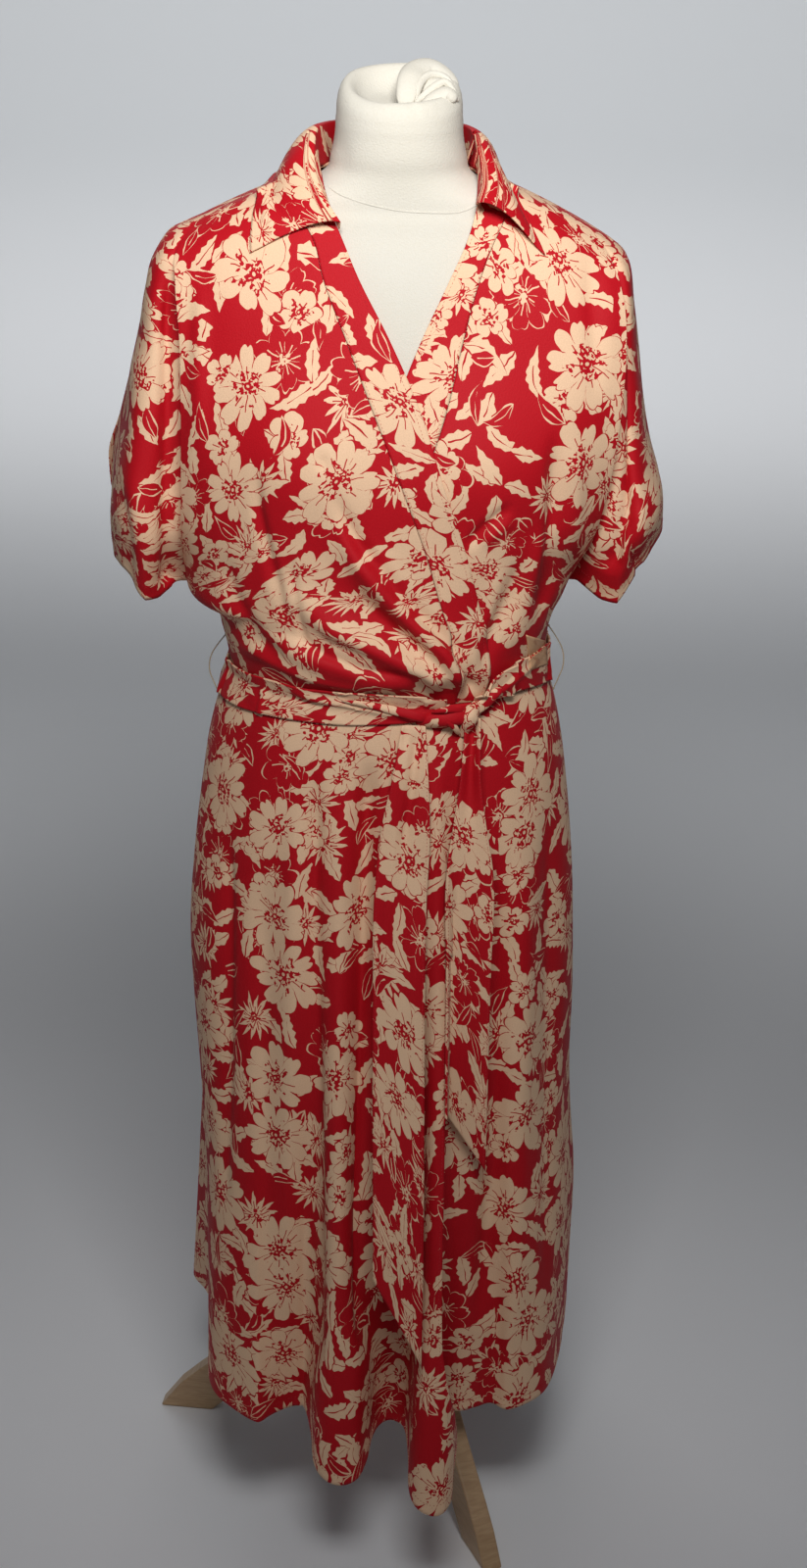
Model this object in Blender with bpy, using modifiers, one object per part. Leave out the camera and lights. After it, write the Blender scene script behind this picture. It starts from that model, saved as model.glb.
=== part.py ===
# A short-sleeved wrap dress with its tied sash, worn by a limbless dress form on a wooden tripod.
# Metres, +Z up, the front faces -Y. Right and left are the wearer's: the right side is at -X.
import math

import bmesh
import bpy
import numpy as np
from mathutils import Vector
from mathutils.bvhtree import BVHTree

# Where the form's upright axis stands, so that the floor below the middle of the whole is the origin
AXIS_X = 0.0055
AXIS_Y = 0.0235

CLOTH = 0.0015          # wall of the dress cloth
SASH_CLOTH = 0.0016     # the sash is two layers of cloth
SEAM = 0.0004           # open gap left at each seam
REST = 0.0007           # air between a piece and the cloth that it lies on
LAP = 0.0030            # how far the overlapping right front stands off the left front
HEM_HEIGHT = 0.145      # general height of the skirt's hem above the floor
WAIST_HEIGHT = 0.868    # the seam of bodice and skirt, under the sash
STAND_X = 0.020         # the stand carries the form a little off the form's own axis
STAND_Y = 0.006
TRIPOD_REACH = 0.254    # from the pole's axis to the tip of a leg
FIRST_LEG = 293.3       # angle of the leg under the front of the skirt, degrees from +X
LEG_COUNT = 3

RED = (0.56, 0.012, 0.02)
CREAM = (0.78, 0.68, 0.52)
JERSEY = (0.80, 0.77, 0.69)
WOOD = (0.42, 0.30, 0.17)


class Table:
    """Named columns over a first column that rises or falls from row to row."""

    def __init__(self, names, *rows):
        cells = np.array(rows, dtype=float)
        if cells[0, 0] > cells[-1, 0]:
            cells = cells[::-1]
        self.keys = cells[:, 0]
        self.columns = dict(zip(names.split()[1:], cells[:, 1:].T))

    def at(self, name, key):
        """The column's value at a key, on a smooth curve through its rows."""
        keys, values = self.keys, self.columns[name]
        key = min(max(key, keys[0]), keys[-1])
        low = min(int(np.searchsorted(keys, key, side="right")) - 1, len(keys) - 2)
        slopes = np.gradient(values, keys)
        width = keys[low + 1] - keys[low]
        t = (key - keys[low]) / width
        start = (2 * t**3 - 3 * t**2 + 1) * values[low] + (t**3 - 2 * t**2 + t) * width * slopes[low]
        end = (3 * t**2 - 2 * t**3) * values[low + 1] + (t**3 - t**2) * width * slopes[low + 1]
        return start + end


def ease(value, start, end):
    """0 before start, 1 after end, smooth between them; end may lie below start."""
    t = min(max((value - start) / (end - start), 0.0), 1.0)
    return t * t * (3 - 2 * t)


# The bodice runs in rows, from 0 at the shoulder seam to 1 at the underarm and WAIST_ROW at the waist.
# middle is the row's height at the centre line; front and back are its depths there.
# The fold is where the body turns back into the sleeve, and below row 1 it is the side seam.
WAIST_ROW = 1.55
NECK_ROW_BACK = 0.080   # how far below the shoulder rows the back neckline dips at the centre
NECK_SQUARENESS = 2.6
BODY_SQUARENESS = 2.2
ROW_DROOP = 1.5
BODICE = Table(
    "row front_middle back_middle front back front_fold back_fold right_x right_z left_x left_z",
    (0.00, 1.3340, 1.3340, 0.000, 0.000, 0.000, 0.000, 0.163, 1.2800, 0.158, 1.2800),
    (0.03, 1.3300, 1.3315, 0.026, 0.036, 0.012, 0.013, 0.170, 1.2770, 0.164, 1.2765),
    (0.07, 1.3150, 1.3215, 0.046, 0.057, 0.023, 0.024, 0.178, 1.2690, 0.172, 1.2680),
    (0.14, 1.2850, 1.2930, 0.066, 0.074, 0.040, 0.040, 0.190, 1.2520, 0.186, 1.2500),
    (0.24, 1.2450, 1.2480, 0.082, 0.085, 0.056, 0.051, 0.190, 1.2260, 0.196, 1.2220),
    (0.38, 1.1950, 1.1960, 0.099, 0.093, 0.068, 0.058, 0.186, 1.1800, 0.200, 1.1800),
    (0.54, 1.1350, 1.1350, 0.121, 0.098, 0.075, 0.062, 0.185, 1.1250, 0.198, 1.1250),
    (0.70, 1.0750, 1.0750, 0.133, 0.100, 0.073, 0.060, 0.186, 1.0650, 0.192, 1.0650),
    (0.86, 1.0100, 1.0100, 0.132, 0.098, 0.056, 0.044, 0.188, 1.0000, 0.180, 1.0050),
    (1.00, 0.9550, 0.9550, 0.130, 0.097, 0.001, 0.001, 0.187, 0.9430, 0.163, 0.9520),
    (1.15, 0.9320, 0.9320, 0.132, 0.098, 0.000, 0.000, 0.163, 0.9270, 0.153, 0.9300),
    (1.30, 0.9100, 0.9100, 0.134, 0.099, 0.000, 0.000, 0.156, 0.9080, 0.147, 0.9100),
    (1.42, 0.8930, 0.8930, 0.130, 0.096, 0.000, 0.000, 0.152, 0.8920, 0.146, 0.8930),
    (1.55, 0.8684, 0.8684, 0.120, 0.086, 0.000, 0.000, 0.148, 0.8684, 0.147, 0.8684),
)

# The sleeve's outer line, where its front and back meet, and how its cloth hangs between the lines
SLEEVE = Table(
    "row right_x right_y right_z left_x left_y left_z belly dip back_belly back_dip right_sag left_sag",
    (0.00, 0.184, 0.000, 1.2705, 0.178, 0.000, 1.2690, 0.000, 0.000, 0.000, 0.000, 0.000, 0.000),
    (0.07, 0.2005, 0.000, 1.2625, 0.191, 0.000, 1.2610, 0.001, 0.000, 0.001, 0.000, 0.000, 0.000),
    (0.14, 0.2130, 0.001, 1.2430, 0.201, 0.001, 1.2500, 0.002, 0.001, 0.002, 0.001, 0.000, 0.000),
    (0.24, 0.2200, 0.005, 1.2150, 0.209, 0.006, 1.2180, 0.002, 0.006, 0.003, 0.003, 0.000, 0.000),
    (0.38, 0.2300, 0.014, 1.1750, 0.217, 0.013, 1.1750, 0.003, 0.015, 0.004, 0.008, 0.002, 0.001),
    (0.54, 0.2410, 0.026, 1.1300, 0.225, 0.025, 1.1250, 0.006, 0.021, 0.006, 0.011, 0.008, 0.005),
    (0.70, 0.2520, 0.038, 1.0900, 0.235, 0.036, 1.0800, 0.016, 0.022, 0.012, 0.012, 0.019, 0.014),
    (0.86, 0.2600, 0.050, 1.0550, 0.246, 0.042, 1.0450, 0.034, 0.017, 0.023, 0.009, 0.032, 0.026),
    (1.00, 0.2615, 0.060, 1.0240, 0.250, 0.046, 1.0180, 0.050, 0.000, 0.046, 0.000, 0.046, 0.038),
)
CREASE_PLACE = 14.0     # degrees round the sleeve from the fold to the crease behind it
SAG_PLACE = {-1: 0.95, 1: 0.75}     # below 1 the lowest part of the hem lies nearer to the body
BACK_SAG = 0.35         # how much of the front's sag the back of the sleeve has

# The crossing front edges and the stitched inner edges of their bands: signed distances from the centre
EDGES = Table(
    "row right_edge right_stitch left_edge left_stitch",
    (0.00, -0.070, -0.098, 0.070, 0.098),
    (0.10, -0.0585, -0.085, 0.067, 0.092),
    (0.17, -0.046, -0.070, 0.059, 0.081),
    (0.24, -0.034, -0.063, 0.0475, 0.072),
    (0.40, -0.003, -0.040, 0.0215, 0.0575),
    (0.54, 0.023, -0.018, 0.000, 0.0455),
    (0.70, 0.0445, 0.007, -0.024, 0.026),
    (0.86, 0.066, 0.031, -0.046, 0.000),
    (1.00, 0.080, 0.047, -0.060, -0.018),
    (1.20, 0.088, 0.058, -0.068, -0.030),
    (1.40, 0.089, 0.063, -0.070, -0.034),
    (1.55, 0.084, 0.060, -0.070, -0.036),
)

BUST_WIDE = 0.085       # from the centre line to the fullest point of each side
BUST_HEIGHT = 1.085
BUST_SPREAD = 0.052
BUST_LIFT = 0.010

# Drape folds that run from the bust and sides towards the knot: ends, half width and height of each
# ridge. The first three are on the right front, the last two on the left front beside its edge.
DRAPES = Table(
    "number start_x start_z end_x end_z width height",
    (1, -0.048, 1.030, 0.062, 0.905, 0.0140, 0.0095),
    (2, -0.098, 0.972, 0.050, 0.894, 0.0130, 0.0085),
    (3, -0.142, 0.932, 0.020, 0.890, 0.0110, 0.0065),
    (4, 0.142, 1.035, 0.116, 0.925, 0.0130, 0.0070),
    (5, 0.158, 0.975, 0.128, 0.905, 0.0100, 0.0050),
)
DRAPES_OF = {-1: (1, 2, 3), 1: (4, 5)}

# The skirt's plan at each height, without its folds
SKIRT = Table(
    "height right left front back",
    (0.8676, 0.148, 0.147, 0.120, 0.086), (0.8450, 0.157, 0.154, 0.124, 0.092),
    (0.8000, 0.169, 0.164, 0.129, 0.104), (0.7600, 0.175, 0.170, 0.133, 0.114),
    (0.7200, 0.180, 0.175, 0.137, 0.123), (0.6800, 0.184, 0.179, 0.141, 0.131),
    (0.6000, 0.189, 0.184, 0.148, 0.142), (0.5300, 0.187, 0.187, 0.152, 0.147),
    (0.4600, 0.184, 0.188, 0.155, 0.152), (0.4000, 0.182, 0.192, 0.157, 0.155),
    (0.3300, 0.183, 0.199, 0.160, 0.159), (0.2500, 0.184, 0.200, 0.162, 0.163),
    (0.1000, 0.185, 0.199, 0.166, 0.170),
)
SKIRT_SQUARENESS = 2.2
FOLD_GROWTH = Table(
    "height share",
    (0.8676, 0.00), (0.72, 0.015), (0.62, 0.06), (0.52, 0.17),
    (0.42, 0.34), (0.32, 0.56), (0.22, 0.80), (0.1, 1.04),
)
FRONT_EDGE = Table(
    "height x",
    (0.8676, 0.084), (0.80, 0.071), (0.72, 0.062), (0.62, 0.060),
    (0.50, 0.062), (0.35, 0.066), (0.22, 0.071), (0.10, 0.077),
)
UNDERLAP_ANGLE = -34.0  # where the left front's hidden edge ends, from the front centre

# The hem's line, place by place round it: turn is the angle on the plain skirt, from the centre
RIGHT_HEM = Table(
    "turn x y z",
    (-90, -0.1690, -0.004, 0.146), (-80, -0.1710, -0.042, 0.145), (-71, -0.1700, -0.090, 0.144),
    (-63, -0.1680, -0.119, 0.143), (-56, -0.1600, -0.144, 0.143), (-49, -0.1430, -0.167, 0.142),
    (-43, -0.1245, -0.1855, 0.141), (-38.5, -0.1120, -0.190, 0.141), (-34, -0.1005, -0.178, 0.143),
    (-29, -0.0880, -0.167, 0.1445), (-24, -0.0750, -0.161, 0.1455), (-19.5, -0.0655, -0.165, 0.142),
    (-16.5, -0.0600, -0.192, 0.133), (-13.5, -0.0570, -0.226, 0.124), (-10.5, -0.0480, -0.243, 0.117),
    (-7, -0.0300, -0.249, 0.114), (-4, -0.0140, -0.239, 0.117), (-1.5, -0.0065, -0.217, 0.124),
    (1, -0.0035, -0.196, 0.132), (4, 0.0040, -0.181, 0.139), (7.5, 0.0190, -0.1770, 0.141),
    (10, 0.0305, -0.188, 0.136), (11.8, 0.0335, -0.222, 0.127), (13.5, 0.0340, -0.255, 0.118),
    (15.3, 0.0400, -0.275, 0.112), (17.5, 0.0560, -0.285, 0.108), (19.7, 0.0700, -0.279, 0.110),
    (21.2, 0.0760, -0.262, 0.113), (22.6, 0.0772, -0.235, 0.119), (24, 0.0800, -0.203, 0.125),
)
LEFT_HEM = Table(
    "turn x y z",
    (-34, -0.0950, -0.130, 0.150), (-10, -0.0300, -0.143, 0.148), (5, 0.0220, -0.150, 0.146),
    (15, 0.0580, -0.160, 0.146), (22, 0.0800, -0.1665, 0.143), (29, 0.0990, -0.1605, 0.145),
    (35, 0.1145, -0.156, 0.146), (41, 0.1285, -0.163, 0.143), (49, 0.1510, -0.150, 0.143),
    (58, 0.1705, -0.130, 0.143), (67, 0.1820, -0.100, 0.1435), (78, 0.1920, -0.050, 0.1445),
    (90, 0.1965, -0.001, 0.145),
)
BACK_HEM = Table(
    "turn x y z",
    (-90, -0.1690, -0.004, 0.146), (-83, -0.1830, 0.028, 0.146), (-76, -0.1990, 0.052, 0.147),
    (-69, -0.2010, 0.075, 0.146), (-61, -0.1900, 0.100, 0.146), (-52, -0.1640, 0.130, 0.147),
    (-42, -0.1520, 0.172, 0.143), (-32, -0.1200, 0.203, 0.142), (-22, -0.0800, 0.190, 0.146),
    (-13, -0.0460, 0.190, 0.146), (-5, -0.0200, 0.229, 0.142), (5, 0.0260, 0.236, 0.142),
    (14, 0.0550, 0.206, 0.146), (22, 0.0820, 0.190, 0.146), (32, 0.1190, 0.205, 0.142),
    (43, 0.1540, 0.183, 0.143), (53, 0.1680, 0.138, 0.147), (64, 0.1880, 0.106, 0.145),
    (76, 0.2010, 0.054, 0.145), (90, 0.1965, -0.001, 0.145),
)

# The shirt collar from the centre back (0) by the shoulder seam (0.5) to its front end (1)
COLLAR_ROLL = Table(
    "place right_x right_y right_z left_x left_y left_z",
    (0.00, 0.0000, 0.0660, 1.3520, 0.0000, 0.0660, 1.3520),
    (0.20, 0.0400, 0.0590, 1.3520, 0.0380, 0.0580, 1.3520),
    (0.38, 0.0640, 0.0390, 1.3515, 0.0590, 0.0380, 1.3510),
    (0.50, 0.0715, 0.0110, 1.3500, 0.0650, 0.0100, 1.3490),
    (0.62, 0.0735, -0.0140, 1.3400, 0.0680, -0.0140, 1.3420),
    (0.75, 0.0715, -0.0400, 1.3210, 0.0720, -0.0370, 1.3280),
    (0.88, 0.0615, -0.0620, 1.3010, 0.0725, -0.0580, 1.3140),
    (1.00, 0.0485, -0.0745, 1.2835, 0.0685, -0.0735, 1.3020),
)
COLLAR_EDGE = Table(
    "place right_x right_y right_z left_x left_y left_z",
    (0.00, 0.0000, 0.1040, 1.2880, 0.0000, 0.1040, 1.2880),
    (0.20, 0.0500, 0.1000, 1.2880, 0.0460, 0.1000, 1.2880),
    (0.38, 0.0905, 0.0740, 1.2920, 0.0790, 0.0725, 1.2915),
    (0.50, 0.1080, 0.0200, 1.3000, 0.0880, 0.0200, 1.3060),
    (0.62, 0.1150, -0.0200, 1.2900, 0.0960, -0.0200, 1.2970),
    (0.75, 0.1200, -0.0400, 1.2760, 0.1080, -0.0400, 1.2830),
    (0.88, 0.1225, -0.0530, 1.2630, 0.1190, -0.0530, 1.2690),
    (1.00, 0.1226, -0.0600, 1.2520, 0.1260, -0.0600, 1.2560),
)
COLLAR_END_ROW = {-1: 0.150, 1: 0.088}  # the bodice row that its front ends reach down the edges to

# The sash round the waist, from the knot by the wearer's right side and the back to the knot again
SASH = Table(
    "turn middle half lift",
    (-337, 0.8805, 0.0085, 0.0050), (-325, 0.888, 0.013, 0.0045), (-310, 0.8865, 0.016, 0.0030),
    (-295, 0.884, 0.0175, 0.0015), (-270, 0.8765, 0.0185, 0.0012), (-180, 0.868, 0.018, 0.0012),
    (-90, 0.858, 0.0165, 0.0012), (-60, 0.862, 0.017, 0.0012), (-35, 0.866, 0.018, 0.0012),
    (-8, 0.868, 0.018, 0.0012), (8, 0.868, 0.014, 0.0015), (18, 0.8675, 0.0085, 0.0020),
)
KNOT_PLACE = (0.068, 0.8680)
KNOT_SIZE = (0.0170, 0.0095, 0.0105)    # half its width, depth and height

LONG_END = Table(
    "height x half y",
    (0.8519, 0.0235, 0.0105, -0.1262), (0.80, 0.021, 0.0170, -0.134), (0.75, 0.0175, 0.0225, -0.139),
    (0.70, 0.0150, 0.0238, -0.147), (0.60, 0.0155, 0.0240, -0.163), (0.50, 0.0170, 0.0240, -0.182),
    (0.40, 0.0190, 0.0238, -0.206), (0.33, 0.0200, 0.0236, -0.224), (0.24, 0.0205, 0.0232, -0.246),
)
LONG_END_SLANT = (0.335, 0.253)     # heights of the two corners of its slanted tip
SHORT_END = Table(
    "height x half y",
    (0.8570, 0.0765, 0.0065, -0.118), (0.80, 0.0755, 0.0095, -0.126), (0.76, 0.0760, 0.0150, -0.133),
    (0.72, 0.0775, 0.0205, -0.137), (0.62, 0.0790, 0.0205, -0.147), (0.52, 0.0800, 0.0200, -0.155),
    (0.40, 0.0810, 0.0195, -0.163),
)
SHORT_END_SLANT = (0.478, 0.417)

# The form's sections: half width, and depths to the front and the back of its axis
FORM = Table(
    "height half front back",
    (0.5855, 0.120, 0.092, 0.094), (0.590, 0.148, 0.113, 0.118), (0.602, 0.162, 0.122, 0.130),
    (0.640, 0.168, 0.127, 0.134), (0.700, 0.163, 0.125, 0.124), (0.760, 0.150, 0.118, 0.103),
    (0.820, 0.135, 0.108, 0.087), (0.870, 0.127, 0.100, 0.077), (0.920, 0.131, 0.104, 0.081),
    (0.980, 0.142, 0.112, 0.087), (1.040, 0.152, 0.121, 0.090), (1.085, 0.159, 0.126, 0.091),
    (1.140, 0.166, 0.113, 0.090), (1.200, 0.176, 0.091, 0.082), (1.235, 0.180, 0.077, 0.074),
    (1.255, 0.175, 0.068, 0.068), (1.270, 0.162, 0.061, 0.063), (1.282, 0.146, 0.057, 0.060),
    (1.2893, 0.134, 0.054, 0.058), (1.2984, 0.1135, 0.053, 0.056), (1.308, 0.0825, 0.0525, 0.054),
    (1.318, 0.0640, 0.0525, 0.053), (1.332, 0.059, 0.0545, 0.053), (1.350, 0.0555, 0.0540, 0.053),
    (1.372, 0.0545, 0.0535, 0.053), (1.380, 0.0530, 0.0520, 0.052), (1.3845, 0.0480, 0.0470, 0.047),
)
NECK_TOP = 1.386
FORM_SQUARENESS = 2.1
POLE_RADIUS = 0.0125
HUB_RADIUS = 0.030
HUB_TOP = 0.262
HUB_BOTTOM = 0.150
LEG_THICKNESS = 0.020


def superellipse(turn, half, depth, squareness):
    """Plan point at an angle in degrees from the front centre, before the sign of the depth."""
    power = 2 / squareness
    sine, cosine = math.sin(math.radians(turn)), math.cos(math.radians(turn))
    x = half * math.copysign(abs(sine) ** power, sine)
    return x, depth * math.copysign(abs(cosine) ** power, cosine)


def side_name(sign):
    return "left" if sign > 0 else "right"


def body_span(row, sign, depth_name):
    """Half width at which the row's curve would meet the side, and the angle at which its fold lies."""
    depth = BODICE.at(depth_name, row)
    fold_y = BODICE.at(depth_name + "_fold", row)
    fold_x = BODICE.at(side_name(sign) + "_x", row)
    if depth < 1e-6:
        return fold_x, 90.0
    left_over = 1 - min(max(fold_y / depth, 0.0), 1.0) ** BODY_SQUARENESS
    span = fold_x / left_over ** (1 / BODY_SQUARENESS)
    turn = math.degrees(math.asin(min((fold_x / span) ** (BODY_SQUARENESS / 2), 1.0)))
    return span, turn


def reach_of(x, row, depth_name="front"):
    """How far a signed x lies from the centre (0) to the fold (1), as a share of the angle."""
    sign = 1 if x >= 0 else -1
    span, fold_turn = body_span(row, sign, depth_name)
    turn = math.degrees(math.asin(min((abs(x) / span) ** (BODY_SQUARENESS / 2), 1.0)))
    return sign * turn / fold_turn


def bust(x, z):
    rise = 0.0
    for centre in (-BUST_WIDE, BUST_WIDE):
        distance = ((x - centre) ** 2 + (z - BUST_HEIGHT) ** 2) / BUST_SPREAD**2
        rise += BUST_LIFT * math.exp(-distance)
    return rise


def drapes(x, z, side):
    """Height of a front's drape folds at a place on it: soft ridges that die out at both ends."""
    rise = 0.0
    for number in DRAPES_OF[side]:
        start = np.array((DRAPES.at("start_x", number), DRAPES.at("start_z", number)))
        end = np.array((DRAPES.at("end_x", number), DRAPES.at("end_z", number)))
        run = end - start
        along = float(np.dot((x, z) - start, run) / np.dot(run, run))
        across = float(run[0] * (z - start[1]) - run[1] * (x - start[0])) / np.linalg.norm(run)
        fade = ease(along, -0.15, 0.35) * ease(along, 1.2, 0.95)
        rise += DRAPES.at("height", number) * fade * math.exp(-((across / DRAPES.at("width", number)) ** 2))
    return rise


def body_point(reach, row, depth_name, panel=0):
    """Point of the bodice; reach is -1 to 1 between its folds, and panel the front whose drapes it has."""
    sign = 1 if reach >= 0 else -1
    span, fold_turn = body_span(row, sign, depth_name)
    x, depth = superellipse(abs(reach) * fold_turn, span, BODICE.at(depth_name, row), BODY_SQUARENESS)
    fold_x = BODICE.at(side_name(sign) + "_x", row)
    middle = BODICE.at(depth_name + "_middle", row)
    fold_z = BODICE.at(side_name(sign) + "_z", row)
    z = middle + (fold_z - middle) * (x / fold_x) ** ROW_DROOP
    if depth_name == "front":
        relief = bust(sign * x, z) + (drapes(sign * x, z, panel) if panel else 0.0)
        return Vector((sign * x, -depth - relief * ease(row, 0.0, 0.3) * ease(row, 1.5, 1.36), z))
    return Vector((sign * x, depth, z))


def sleeve_point(turn, row, fold, depth_name):
    """Point of a sleeve half, from the body's fold (0 degrees) round to the sleeve's outer line (90)."""
    sign = 1 if fold.x > 0 else -1
    side = side_name(sign)
    outer = Vector((sign * SLEEVE.at(side + "_x", row), SLEEVE.at(side + "_y", row), SLEEVE.at(side + "_z", row)))
    sine, cosine = math.sin(math.radians(turn)), math.cos(math.radians(turn))
    arch = math.sin(math.radians(2 * turn))
    crease = turn / CREASE_PLACE * math.exp(1 - turn / CREASE_PLACE)
    front = depth_name == "front"
    dip = crease * SLEEVE.at("dip" if front else "back_dip", row)
    forward = -1 if front else 1
    if turn == 90:
        return outer + Vector((0, forward * SEAM, 0))
    sag = SLEEVE.at(side + "_sag", row) * math.sin(math.pi * (turn / 90) ** SAG_PLACE[sign])
    x = fold.x + (outer.x - fold.x) * sine - sign * dip * 0.35
    y = outer.y + (fold.y - outer.y) * cosine - forward * dip
    y += forward * arch * SLEEVE.at("belly" if front else "back_belly", row)
    z = fold.z + (outer.z - fold.z) * sine - sag * (1.0 if front else BACK_SAG)
    return Vector((x, y, z))


def lap_share(x, row):
    """How much of the lap's lift the right front has: none by the side, all where it covers the left."""
    return ease(x, -0.135, -0.085) * ease(row, 0.18, 0.40)


def grid_normals(points):
    """Unit normals of a grid of points, out of the dress where rows run down and columns to the left."""
    cells = np.array([[tuple(point) for point in row] for row in points])
    across = np.gradient(cells, axis=1)
    down = np.gradient(cells, axis=0)
    normals = np.cross(down, across)
    lengths = np.linalg.norm(normals, axis=2, keepdims=True)
    return cells, normals / np.maximum(lengths, 1e-12)


def moved_out(points, amounts):
    """The grid with each point moved along its normal by its own amount."""
    cells, normals = grid_normals(points)
    moved = cells + normals * np.array(amounts)[:, :, None]
    return [[Vector(point) for point in row] for row in moved]


def add_grid(mesh, points):
    """Adds a grid of faces whose corners lie at the given rows of points."""
    rows, columns = len(points), len(points[0])
    made = bmesh.ops.create_grid(mesh, x_segments=columns - 1, y_segments=rows - 1, size=0.5)["verts"]
    made.sort(key=lambda vertex: (round(-vertex.co.y, 5), round(vertex.co.x, 5)))
    for index, vertex in enumerate(made):
        vertex.co = points[index // columns][index % columns]


def material(name, colour, roughness):
    found = bpy.data.materials.get(name)
    if found:
        return found
    made = bpy.data.materials.new(name)
    made.use_nodes = True
    shader = made.node_tree.nodes["Principled BSDF"]
    shader.inputs["Base Color"].default_value = (*colour, 1.0)
    shader.inputs["Roughness"].default_value = roughness
    shader.inputs["Metallic"].default_value = 0.0
    made.diffuse_color = (*colour, 1.0)
    return made


def place(name, data, colour, roughness, smooth=True, upright=None):
    """Puts new geometry in the part's collection, on the form's axis or on another upright."""
    piece = bpy.data.objects.new(name, data)
    collection.objects.link(piece)
    piece.parent = upright or axis
    data.materials.append(material(name + "_finish", colour, roughness))
    if smooth and piece.type == "MESH":
        data.shade_smooth()
        data.set_sharp_from_angle(angle=math.radians(50))
    return piece


def cloth_piece(name, *grids, wall=CLOTH, colour=RED):
    """A panel: one open sheet made of its grids, given a wall on its inner side.

    A grid's rows run down and its columns from left to right, as seen from outside.
    """
    sheet = bmesh.new()
    for points in grids:
        add_grid(sheet, points)
    bmesh.ops.remove_doubles(sheet, verts=sheet.verts, dist=1e-5)
    data = bpy.data.meshes.new(name)
    sheet.to_mesh(data)
    sheet.free()
    piece = place(name, data, colour, 0.6)
    walls = piece.modifiers.new("wall", "SOLIDIFY")
    walls.thickness = wall
    walls.offset = -1.0
    walls.use_even_offset = False
    return piece


def surface_of(*grids):
    """A search tree over the outer surface of some grids, for laying other pieces on it."""
    corners, faces = [], []
    for points in grids:
        columns = len(points[0])
        start = len(corners)
        corners += [point for row in points for point in row]
        for row in range(len(points) - 1):
            for column in range(columns - 1):
                first = start + row * columns + column
                faces.append((first, first + columns, first + columns + 1, first + 1))
    return BVHTree.FromPolygons([tuple(corner) for corner in corners], faces)


def laid_on(points, surfaces, needed, first_row=0):
    """Moves a grid's points outwards where they lie nearer to a surface than they need to."""
    for _ in range(3):
        for row in points[first_row:]:
            for column, point in enumerate(row):
                for surface in surfaces:
                    nearest, normal, _, distance = surface.find_nearest(point)
                    if nearest is None or distance > 0.03:
                        continue
                    height = (point - nearest).dot(normal)
                    if height < needed:
                        row[column] = point = point + normal * (needed - height)
    return points


# Bodice

UPPER_ROWS = (0.0, 0.03, 0.07, 0.14, 0.24, 0.36, 0.48, 0.60, 0.71, 0.82, 0.92, 1.0)
LOWER_ROWS = (1.10, 1.20, 1.29, 1.36, 1.42, 1.485, WAIST_ROW)
BODICE_ROWS = UPPER_ROWS + LOWER_ROWS
SLEEVE_TURNS = (0, 7, 15, 25, 38, 52, 66, 79, 90)
PANEL_STEPS = {-1: 14, 1: 8}
STITCH_STRIP = 0.004    # a narrow column on each side of a stitched seam keeps the walls there parallel
BACK_REACHES = (0.0, 0.10, 0.175, 0.235, 0.36, 0.48, 0.61, 0.74, 0.87, 1.0)


def kept_in_front(points, forward):
    """Keeps a grid on its own side of the shoulder and side seams."""
    for line in points:
        for point in line:
            if point.y * forward < SEAM and abs(point.x) < 0.2005:
                point.y = forward * SEAM
    return points


def sleeve_grid(folds, depth_name):
    """One half of a sleeve beside the body's fold points, in the order of its columns from outside."""
    lines = []
    for row, fold in zip(UPPER_ROWS, folds):
        line = [sleeve_point(turn, row, fold, depth_name) for turn in SLEEVE_TURNS]
        line[0] = fold.copy()
        lines.append(line if (fold.x > 0) == (depth_name == "front") else line[::-1])
    return lines


def front_grids(sign):
    """Panel, band and sleeve grids of one front, as one continuous surface cut at the stitch line."""
    side = side_name(sign)
    full, lifts = [], []
    for row in BODICE_ROWS:
        stitch, edge = EDGES.at(side + "_stitch", row), EDGES.at(side + "_edge", row)
        away = sign * SEAM / 2
        strip = sign * STITCH_STRIP
        inner = reach_of(stitch + strip, row)
        count = PANEL_STEPS[sign] - 1
        reaches = [sign + (inner - sign) * step / count for step in range(count + 1)]
        band = (stitch - away, stitch - strip, (stitch - strip + edge) / 2, edge)
        reaches += [reach_of(x, row) for x in (stitch + away, *band)]
        line = [body_point(reach, row, "front", sign) for reach in reaches]
        full.append(line if sign < 0 else line[::-1])
        lifts.append([LAP * lap_share(point.x, row) * (sign < 0) for point in full[-1]])
    full = kept_in_front(moved_out(full, lifts), -1)
    for point in full[-1]:
        point.z = WAIST_HEIGHT + SEAM
    cut = PANEL_STEPS[sign] + 1
    if sign < 0:
        panel, band = [line[:cut] for line in full], [line[cut:] for line in full]
        folds = [line[0] for line in full]
    else:
        panel, band = [line[-cut:] for line in full], [line[:-cut] for line in full]
        folds = [line[-1] for line in full]
    return panel, band, kept_in_front(sleeve_grid(folds, "front"), -1)


def neck_dip(x):
    """How far down the rows the back neckline lies, at a distance from the centre."""
    across = min(abs(x / EDGES.at("left_edge", 0.0)), 1.0)
    return NECK_ROW_BACK * (1 - across**NECK_SQUARENESS) ** (1 / NECK_SQUARENESS)


def back_grids():
    """Body and both sleeve grids of the back; its neckline dips below the shoulder rows."""
    neck = reach_of(EDGES.at("left_edge", 0.0), 0.0, "back")
    half = sorted(BACK_REACHES + (neck, neck * 0.94))
    reaches = half[::-1] + [-reach for reach in half[1:]]
    body = []
    for row in BODICE_ROWS:
        line = []
        for reach in reaches:
            dip = neck_dip(body_point(reach, 0.0, "back").x)
            line.append(body_point(reach, dip + row * (WAIST_ROW - dip) / WAIST_ROW, "back"))
        body.append(line)
    body = kept_in_front(body, 1)
    sleeves = [kept_in_front(sleeve_grid([line[end] for line in body], "back"), 1) for end in (0, -1)]
    return body, sleeves[0], sleeves[1]


# Skirt

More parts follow.
